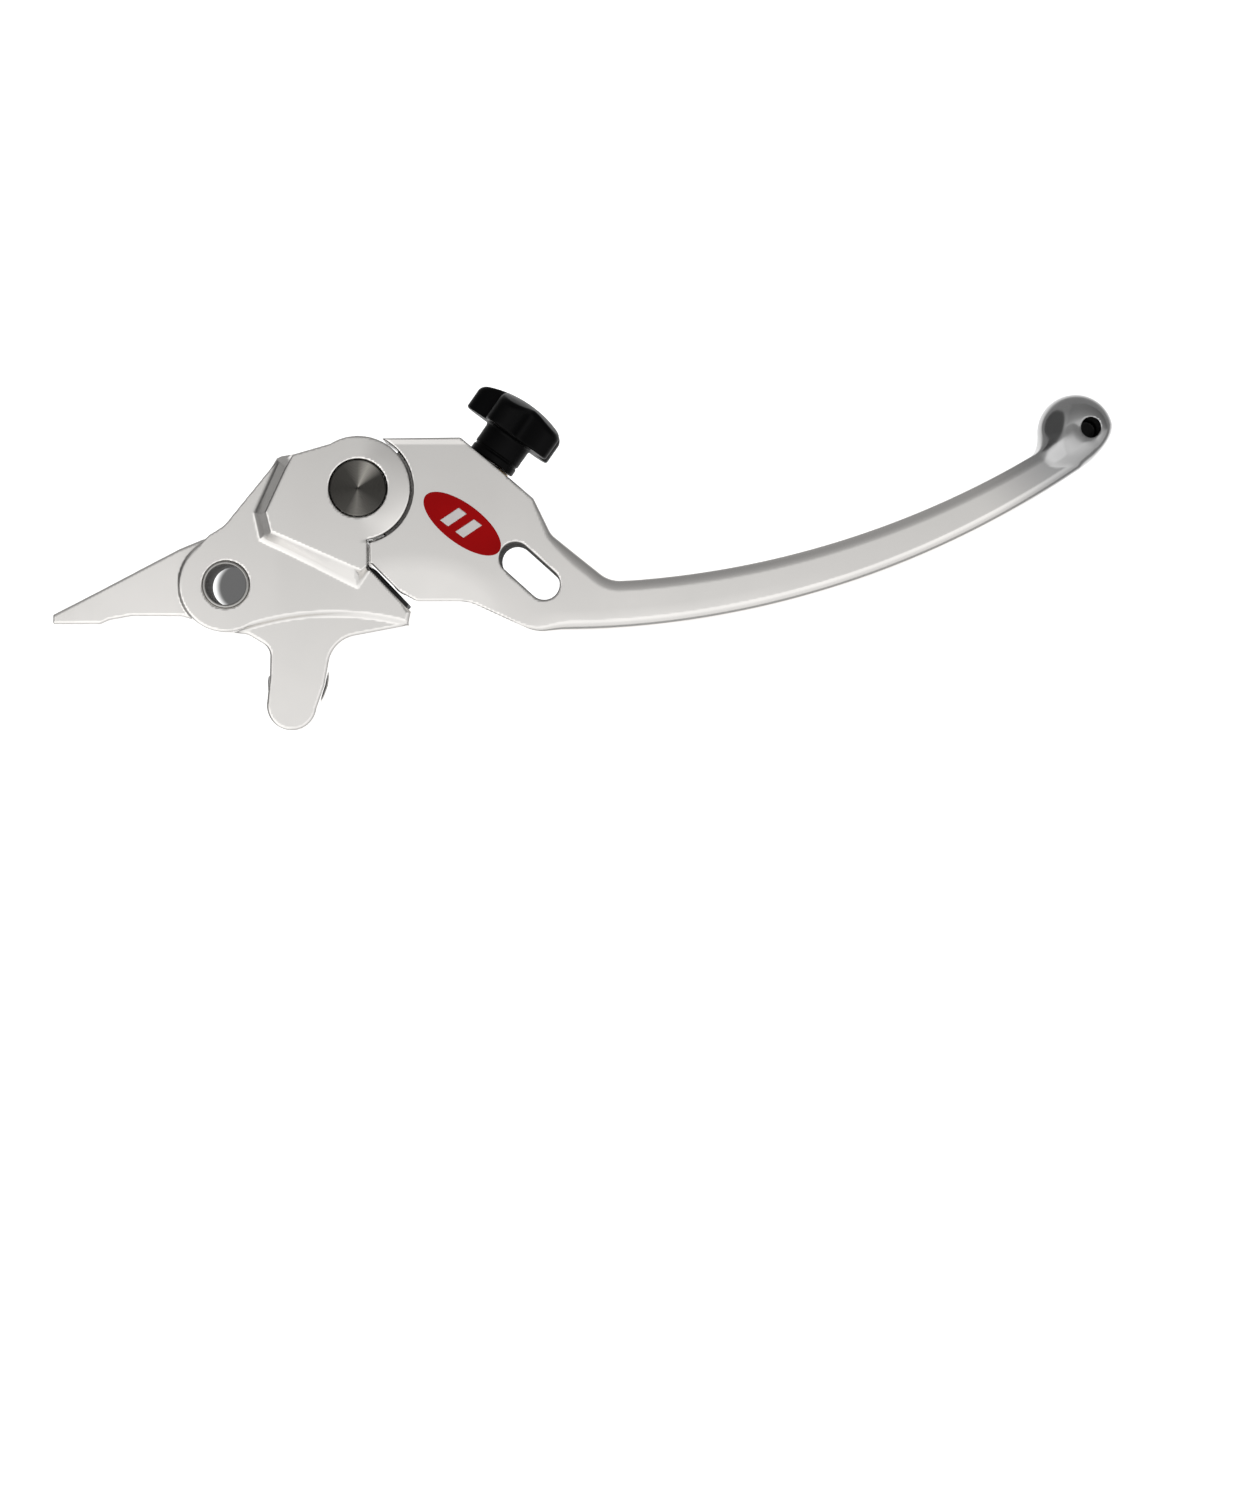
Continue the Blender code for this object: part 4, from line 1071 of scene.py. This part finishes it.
def speckled(name, light, dark, roughness, metallic, grain, depth, strength=0.5):
    """A finish with a fine grain, a slow drift of tone and a roughness that varies with both."""
    material, tree, shader, place = finish_nodes(name, light, roughness[0], metallic)
    fine = noise(tree, place, grain, 2.0)
    slow = noise(tree, place, SLOW_DRIFT, 4.0)
    lay(tree, shader, ramp_node(tree, slow, NOISE_SPAN, (0, 1), "LINEAR"), (*light, 1), dark)
    tree.links.new(ramp_node(tree, slow, NOISE_SPAN, roughness, "LINEAR"), shader.inputs["Roughness"])
    relief(tree, shader, fine, strength, depth)
    return material


def aluminium(name):
    """Bead-blasted and clear anodised, with painted shade round the pin and in the gap at the stop."""
    light, dark = (0.835, 0.813, 0.788), (0.805, 0.787, 0.763)
    material = speckled(name, light, dark, (0.19, 0.24), 1.0, 5200, 0.00001, 0.12)
    tree, shader, place = handles(material)
    # Painted shade in the joint round the pin, on its side towards the tip
    out = distance_node(tree, place, in_metres(PIN))
    off = math_node(tree, "ABSOLUTE", math_node(tree, "SUBTRACT", out, SHADE_RING_RADIUS * MM))
    towards_tip = along_axis(tree, place, "X")
    towards_tip = ramp_node(tree, towards_tip, (PIN[0] * MM, (PIN[0] + PIN_SHANK) * MM), (0, 1))
    near = edge_mask(tree, off, 0, SHADE_RING_FADE, SHADE_RING_STRENGTH)
    shade(tree, shader, math_node(tree, "MULTIPLY", near, towards_tip), PAINTED_SHADE)
    # Painted shade in the gap at the stop
    paint_shade(tree, shader, edge_mask(tree, stretch_node(tree, place, *GAP_STRETCH), GAP_SHADE_REACH, GAP_SHADE_FADE))
    return material


def base_aluminium():
    """The base's finish, with painted shade inside the piston screw's bore."""
    material = aluminium("base_aluminium")
    tree, shader, place = handles(material)
    # Painted shade inside the piston screw's bore
    out = distance_node(tree, place, (0, SET_SCREW_Y * MM, 0), (0, 1, 1))
    paint_shade(tree, shader, edge_mask(tree, out, SET_SCREW_RADIUS, BORE_SHADE_FADE))
    return material


def blade_aluminium():
    """The blade's finish, with painted shade: darker at the ball, black in the tip's hole and dark and
    rough on the window's walls.
    """
    material = aluminium("blade_aluminium")
    tree, shader, place = handles(material)
    # Painted shade on the ball
    out = distance_node(tree, place, in_metres(BALL))
    shade(tree, shader, edge_mask(tree, out, 0, BALL_SHADE_REACH), BALL_SHADE)
    # Painted shade in the tip's hole
    out = distance_node(tree, place, in_metres(TIP_HOLE))
    in_hole = edge_mask(tree, out, TIP_HOLE_RADIUS, TIP_HOLE_FADE)
    span = [height * MM for height in TIP_HOLE_END]
    above = ramp_node(tree, along_axis(tree, place, "Z"), span, (0, 1))
    shade(tree, shader, math_node(tree, "MULTIPLY", in_hole, above), TIP_HOLE_SHADE)
    # Painted shade on the window's walls
    out = stretch_node(tree, place, WINDOW, WINDOW_REACH, WINDOW_TILT)
    paint_shade(tree, shader, edge_mask(tree, out, WINDOW_RADIUS, WINDOW_SHADE_FADE))
    return material


def turned_steel(name, centre, colour, rings_per_metre, roughness):
    """Steel with fine circular tool marks round an axis along Z, which stretch its highlights out, and
    painted highlights and shade in its colour round that axis.
    """
    material, tree, shader, place = finish_nodes(name, colour, roughness, 1.0)
    shader.inputs["Anisotropic"].default_value = 0.9
    shader.inputs["Anisotropic Rotation"].default_value = 0.25
    tangent = add_node(tree, "Tangent", "Tangent", direction_type="RADIAL", axis="Z")
    tree.links.new(tangent, shader.inputs["Tangent"])
    inputs = {"Location": in_metres([-c for c in centre]), "Vector": place}
    centred = add_node(tree, "Mapping", "Vector", inputs)
    inputs = {"Scale": rings_per_metre, "Distortion": 0.6, "Detail": 2.0, "Vector": centred}
    marks = add_node(tree, "TexWave", "Fac", inputs, wave_type="RINGS", rings_direction="Z")
    relief(tree, shader, marks, 0.8, 0.00003)
    # Painted highlights and shade round the axis
    round_it = add_node(tree, "TexGradient", "Fac", {"Vector": centred}, gradient_type="RADIAL")
    tones = add_node(tree, "ValToRGB", "Color", {"Fac": round_it})
    ramp = tones.node.color_ramp
    for position, _ in TURNED_PAINTED_HIGHLIGHTS[1:-1]:
        ramp.elements.new(position)
    for element, (position, tone) in zip(ramp.elements, TURNED_PAINTED_HIGHLIGHTS):
        element.position = position
        element.color = (*dimmed(colour, tone), 1)
    tree.links.new(tones, shader.inputs["Base Color"])
    return material


def dimmed(colour, share):
    return tuple(c * share for c in colour)


def steel(name, colour=(0.56, 0.55, 0.53)):
    return speckled(name, colour, dimmed(colour, 0.75), (0.26, 0.4), 1.0, 2500, 0.00002)


def bronze(name):
    return speckled(name, (0.62, 0.42, 0.20), (0.48, 0.31, 0.14), (0.3, 0.45), 1.0, 2200, 0.00002)


def black_steel(name):
    return speckled(name, (0.035, 0.034, 0.034), (0.02, 0.02, 0.02), (0.3, 0.45), 0.85, 2500, 0.00002)


def moulded(name, colour, roughness, grain=1500, depth=0.00003, gloss=0.5):
    material = speckled(name, colour, dimmed(colour, 0.8), roughness, 0.0, grain, depth)
    handles(material)[1].inputs["Specular IOR Level"].default_value = gloss
    return material


def dress(piece, material):
    piece.data.materials.clear()
    piece.data.materials.append(material)
    return piece


def dress_node(name, material):
    """A finish for a CAD piece that is shown as it is."""
    for slot in NODES[name].material_slots:
        slot.material = material


# ---- pieces ----


def stand_in(node, body, piece, material):
    """Puts a fine piece in the place of a CAD node."""
    dress(piece, material)
    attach(piece, body)
    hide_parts(node)


def carved(node, body, field, step, material, room=0.0):
    """A fine piece for a CAD node, carved inside the node's box and some room round it."""
    low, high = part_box(node)
    low, high = [a / MM - room for a in low], [b / MM + room for b in high]
    stand_in(node, body, carve_out(node + "_fine", field, low, high, step), material)


def ring(node, body, sizes, easing, place, material, slot, sides=96):
    """A fine bush or washer for a CAD node, from its inner and outer radius and its two ends."""
    inner, outer, low, high = sizes
    profile = [(inner, low), (outer, low), (outer, high), (inner, high)]
    stand_in(node, body, lathe(node + "_fine", eased(profile, easing), place, sides), material)


def make_perch_bush():
    material = steel("perch_bush_steel", (0.5, 0.49, 0.47))
    tree, shader, place = handles(material)
    # Painted shade on the bush's bore
    out = distance_node(tree, place, (0, 0, 0))
    paint_shade(tree, shader, edge_mask(tree, out, PERCH_BORE, BUSH_SHADE_FADE, 0.9))
    sizes = (PERCH_BORE, PERCH_BUSH_OUTER, -PERCH_BUSH_HALF, PERCH_BUSH_HALF)
    ring("perch_bush", "base", sizes, 0.35, Matrix.Identity(4), material, "bush_steel")


AXIS = 0.01  # the radius of a turned piece's end at its axis
FOLD_AXIS = Matrix.Translation((*PIN, 0))


def make_fold_pin():
    """A barrel with a turned head, a centre mark in it, and a drilling for the screw below."""
    under = COUNTERBORE_FLOOR + GAP
    mark_radius, mark_depth = PIN_CENTRE_MARK
    profile = [
        (AXIS, PIN_DRILLING_END), (PIN_DRILLING, PIN_DRILLING_END), (PIN_DRILLING, -COUNTERBORE_FLOOR),
        (PIN_SHANK, -COUNTERBORE_FLOOR), (PIN_SHANK, under), (PIN_HEAD, under),
        (PIN_HEAD, PIN_HEAD_TOP), (mark_radius, PIN_HEAD_TOP), (AXIS, PIN_HEAD_TOP - mark_depth),
    ]
    pin = lathe("fold_pin_fine", eased(profile, SOFT), FOLD_AXIS)
    finish = turned_steel("fold_pin_steel", PIN, (0.24, 0.23, 0.21), 1100, 0.4)
    stand_in("fold_pin", "pivot", pin, finish)


def make_rings():
    """The fold pin's washer, the spindle's bush and the sleeve across the knob's shank."""
    top = -COUNTERBORE_FLOOR - GAP
    sizes = (PIN_DRILLING, PIN_HEAD - SCREW_GAP, top - WASHER_THICKNESS, top)
    finish = turned_steel("washer_steel", PIN, (0.5, 0.49, 0.47), 900, 0.4)
    ring("fold_pin_washer", "pivot", sizes, NEAT, FOLD_AXIS, finish, "pin_steel")
    sizes = (SPINDLE_RADIUS + 0.2, BUSH_BORE - TIGHT_GAP, SPINDLE_BUSH_BOTTOM, SPINDLE_BUSH_TOP)
    finish = bronze("spindle_bush_bronze")
    ring("spindle_bush", "blade", sizes, SOFT, ADJUST, finish, "bush_bronze")
    sizes = (ROLL_PIN_BORE, ROLL_PIN, -ROLL_PIN_HALF, ROLL_PIN_HALF)
    across = ADJUST @ Matrix.Translation((0, 0, ROLL_PIN_Z)) @ Matrix.Rotation(math.pi / 2, 4, "Y")
    finish = steel("roll_pin_steel")
    ring("knob_roll_pin", "knob", sizes, ROLL_PIN_EDGE, across, finish, "pin_steel", 40)


def make_badge():
    reach = BADGE_HALF_LENGTH + 0.5
    low = (BADGE[0] - reach, BADGE[1] - reach, HEAD_HALF - 0.4)
    high = (BADGE[0] + reach, BADGE[1] + reach, HEAD_HALF + 0.4)
    red = moulded("badge_red", (0.40, 0.0, 0.001), (0.5, 0.6), 2500, 0.00001, 0.08)
    pale = moulded("badge_pale", (0.78, 0.74, 0.73), (0.5, 0.6), 2500, 0.00001, 0.2)
    for name, field, paint in (("badge_oval", badge_field, red), ("badge_bars", badge_bar_field, pale)):
        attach(dress(carve_out(name, field, low, high, BADGE_STEP), paint), "blade")


def make_pieces():
    black = black_steel("black_oxide_steel")
    carved("lever_base", "base", base_field, 0.36, base_aluminium())
    carved("lever_blade", "blade", blade_field, 0.38, blade_aluminium(), 1.0)
    knob_finish = moulded("knob_black", (0.002, 0.002, 0.0022), (0.35, 0.45), 900, 0.00002, 0.07)
    carved("adjuster_knob", "knob", knob_field, 0.22, knob_finish)
    carved("adjuster_plunger", "plunger", plunger_field, 0.14, black)
    carved("piston_set_screw", "base", set_screw_field, 0.11, black)
    carved("plunger_guide_screw", "blade", guide_screw_field, 0.08, black)
    carved("fold_pin_screw", "pivot", pin_screw_field, 0.1, steel("pin_screw_steel"))
    pad = moulded("pad_plastic", (0.02, 0.02, 0.021), (0.5, 0.65))
    carved("wear_pad", "base", wear_pad_field, 0.15, pad)
    make_perch_bush()
    make_fold_pin()
    make_rings()
    make_badge()
    hidden_bronze = bronze("oiled_bronze")
    for name in ("fork_bush_upper", "fork_bush_lower", "tongue_bush"):
        dress_node(name, hidden_bronze)
    wire = steel("spring_wire", (0.5, 0.5, 0.5))
    for name in ("return_spring", "detent_spring", "detent_ball", "adjuster_spindle"):
        dress_node(name, wire)
    dress_node("spindle_o_ring", moulded("seal_rubber", (0.02, 0.02, 0.02), (0.6, 0.8), 2000))


# ---- studio ----

FLOOR_Z = -0.6
FLOOR_REACH = 8
FLOOR_SIDES = 96
# The floor glows, and its glow and colour make a painted pool of light under the lever
FLOOR_GLOW = 0.62
FLOOR_DIM_GLOW = 0.12
FLOOR_TONE = (0.9, 0.9, 0.9)
FLOOR_DIM_TONE = (0.3, 0.3, 0.3)
POOL_CENTRE = (0.08, -0.1)
POOL_EDGE = (0.48, 0.95)
FOCUS_Z = 4.5  # the height of the plane that fills the view, in millimetres like those below
VIEW_HEIGHT = 300.0
VIEW_CENTRE = (79.68, -33.02)
LENS = 78
SENSOR = 36
CLIP_END = 20
FORE_AND_AFT = [
    (-1, 0.29), (-0.7, 0.29), (-0.3, 0.38), (-0.1, 0.48), (0, 1.0), (0.12, 1.1), (0.5, 1.05),
    (0.8, 0.9), (1, 0.85),
]
LEFT_TO_RIGHT = [
    (-1, 0.25), (-0.8, 0.38), (-0.62, 1.25), (-0.3, 1.2), (-0.15, 1.25), (-0.1, 0.92), (-0.04, 1.0),
    (0, 1.05), (0.12, 1.05), (0.55, 0.9), (1, 0.55),
]
SHADE_SPOT = (-0.0679, 0.030)
SHADE_EDGE = (0.0083, 0.0113)
SHADE_TONE = (0.1, 0.1, 0.1)
SHADE_GLOW = (0.1, 1)


def make_floor():
    """A round white floor far below, with a painted pool of light: its colour and glow are brighter in
    a wide pool under the lever and dimmer beyond it.

    A small dark patch on it stands for the shadow that is seen through the perch bore.
    """
    mesh = bpy.data.meshes.new("floor")
    turns = [2 * math.pi * i / FLOOR_SIDES for i in range(FLOOR_SIDES)]
    rim = [(FLOOR_REACH * math.cos(turn), FLOOR_REACH * math.sin(turn), 0) for turn in turns]
    mesh.from_pydata(rim, [], [range(FLOOR_SIDES)])
    floor = show("floor", mesh)
    floor.location.z = FLOOR_Z
    material, tree, shader, place = finish_nodes("pale_floor", FLOOR_TONE, 0.9, 0.0)
    shader.inputs["Emission Color"].default_value = (1, 1, 1, 1)
    # Painted pool of light
    lit = ramp_node(tree, distance_node(tree, place, (*POOL_CENTRE, 0)), POOL_EDGE, (1, 0))
    lay(tree, shader, lit, (*FLOOR_DIM_TONE, 1), FLOOR_TONE)
    spot = distance_node(tree, place, (*SHADE_SPOT, 0))
    shade(tree, shader, ramp_node(tree, spot, SHADE_EDGE, (1, 0)), SHADE_TONE)
    glow = math_node(tree, "MULTIPLY_ADD", lit, FLOOR_GLOW - FLOOR_DIM_GLOW, FLOOR_DIM_GLOW)
    glow = math_node(tree, "MULTIPLY", glow, ramp_node(tree, spot, SHADE_EDGE, SHADE_GLOW))
    tree.links.new(glow, shader.inputs["Emission Strength"])
    floor.data.materials.append(material)


def graded(tree, direction, axis, tones):
    """A tone that follows how far a direction points along an axis, from -1 to 1."""
    along = add_node(tree, "VectorMath", "Value", {0: direction, 1: axis}, operation="DOT_PRODUCT")
    along = ramp_node(tree, along, (-1, 1), (0, 1), "LINEAR")
    curve = add_node(tree, "FloatCurve", "Value", {"Value": along})
    mapping = curve.node.mapping
    points = mapping.curves[0].points
    while len(points) < len(tones):
        points.new(0.5, 0.5)
    for point, (position, tone) in zip(points, tones):
        point.location = ((position + 1) / 2, tone / 2)
    mapping.update()
    return math_node(tree, "MULTIPLY", curve, 2)


def make_surroundings():
    """A soft studio: bright behind the lever's rear side, darker ahead of it and to its left."""
    world = bpy.data.worlds.new("studio")
    bpy.context.scene.world = world
    world.use_nodes = True
    tree = world.node_tree
    background = tree.nodes["Background"]
    direction = add_node(tree, "TexCoord", "Generated")
    fore = graded(tree, direction, (0, -1, 0), FORE_AND_AFT)
    side = graded(tree, direction, (1, 0, 0), LEFT_TO_RIGHT)
    tree.links.new(math_node(tree, "MULTIPLY", fore, side), background.inputs["Strength"])
    background.inputs["Color"].default_value = (1, 1, 1, 1)


def make_camera():
    """Straight down on the lever, from where its plane fills the stated width and height."""
    camera = bpy.data.cameras.new("camera")
    camera.lens = LENS
    camera.sensor_width = SENSOR
    camera.sensor_fit = "AUTO"
    camera.clip_end = CLIP_END
    thing = bpy.data.objects.new("camera", camera)
    bpy.context.scene.collection.objects.link(thing)
    away = VIEW_HEIGHT * LENS / SENSOR
    thing.location = (VIEW_CENTRE[0] * MM, VIEW_CENTRE[1] * MM, (away + FOCUS_Z) * MM)
    bpy.context.scene.camera = thing


def main():
    make_camera()
    make_floor()
    make_surroundings()
    bpy.context.scene.view_settings.view_transform = "Standard"
    make_pieces()


main()
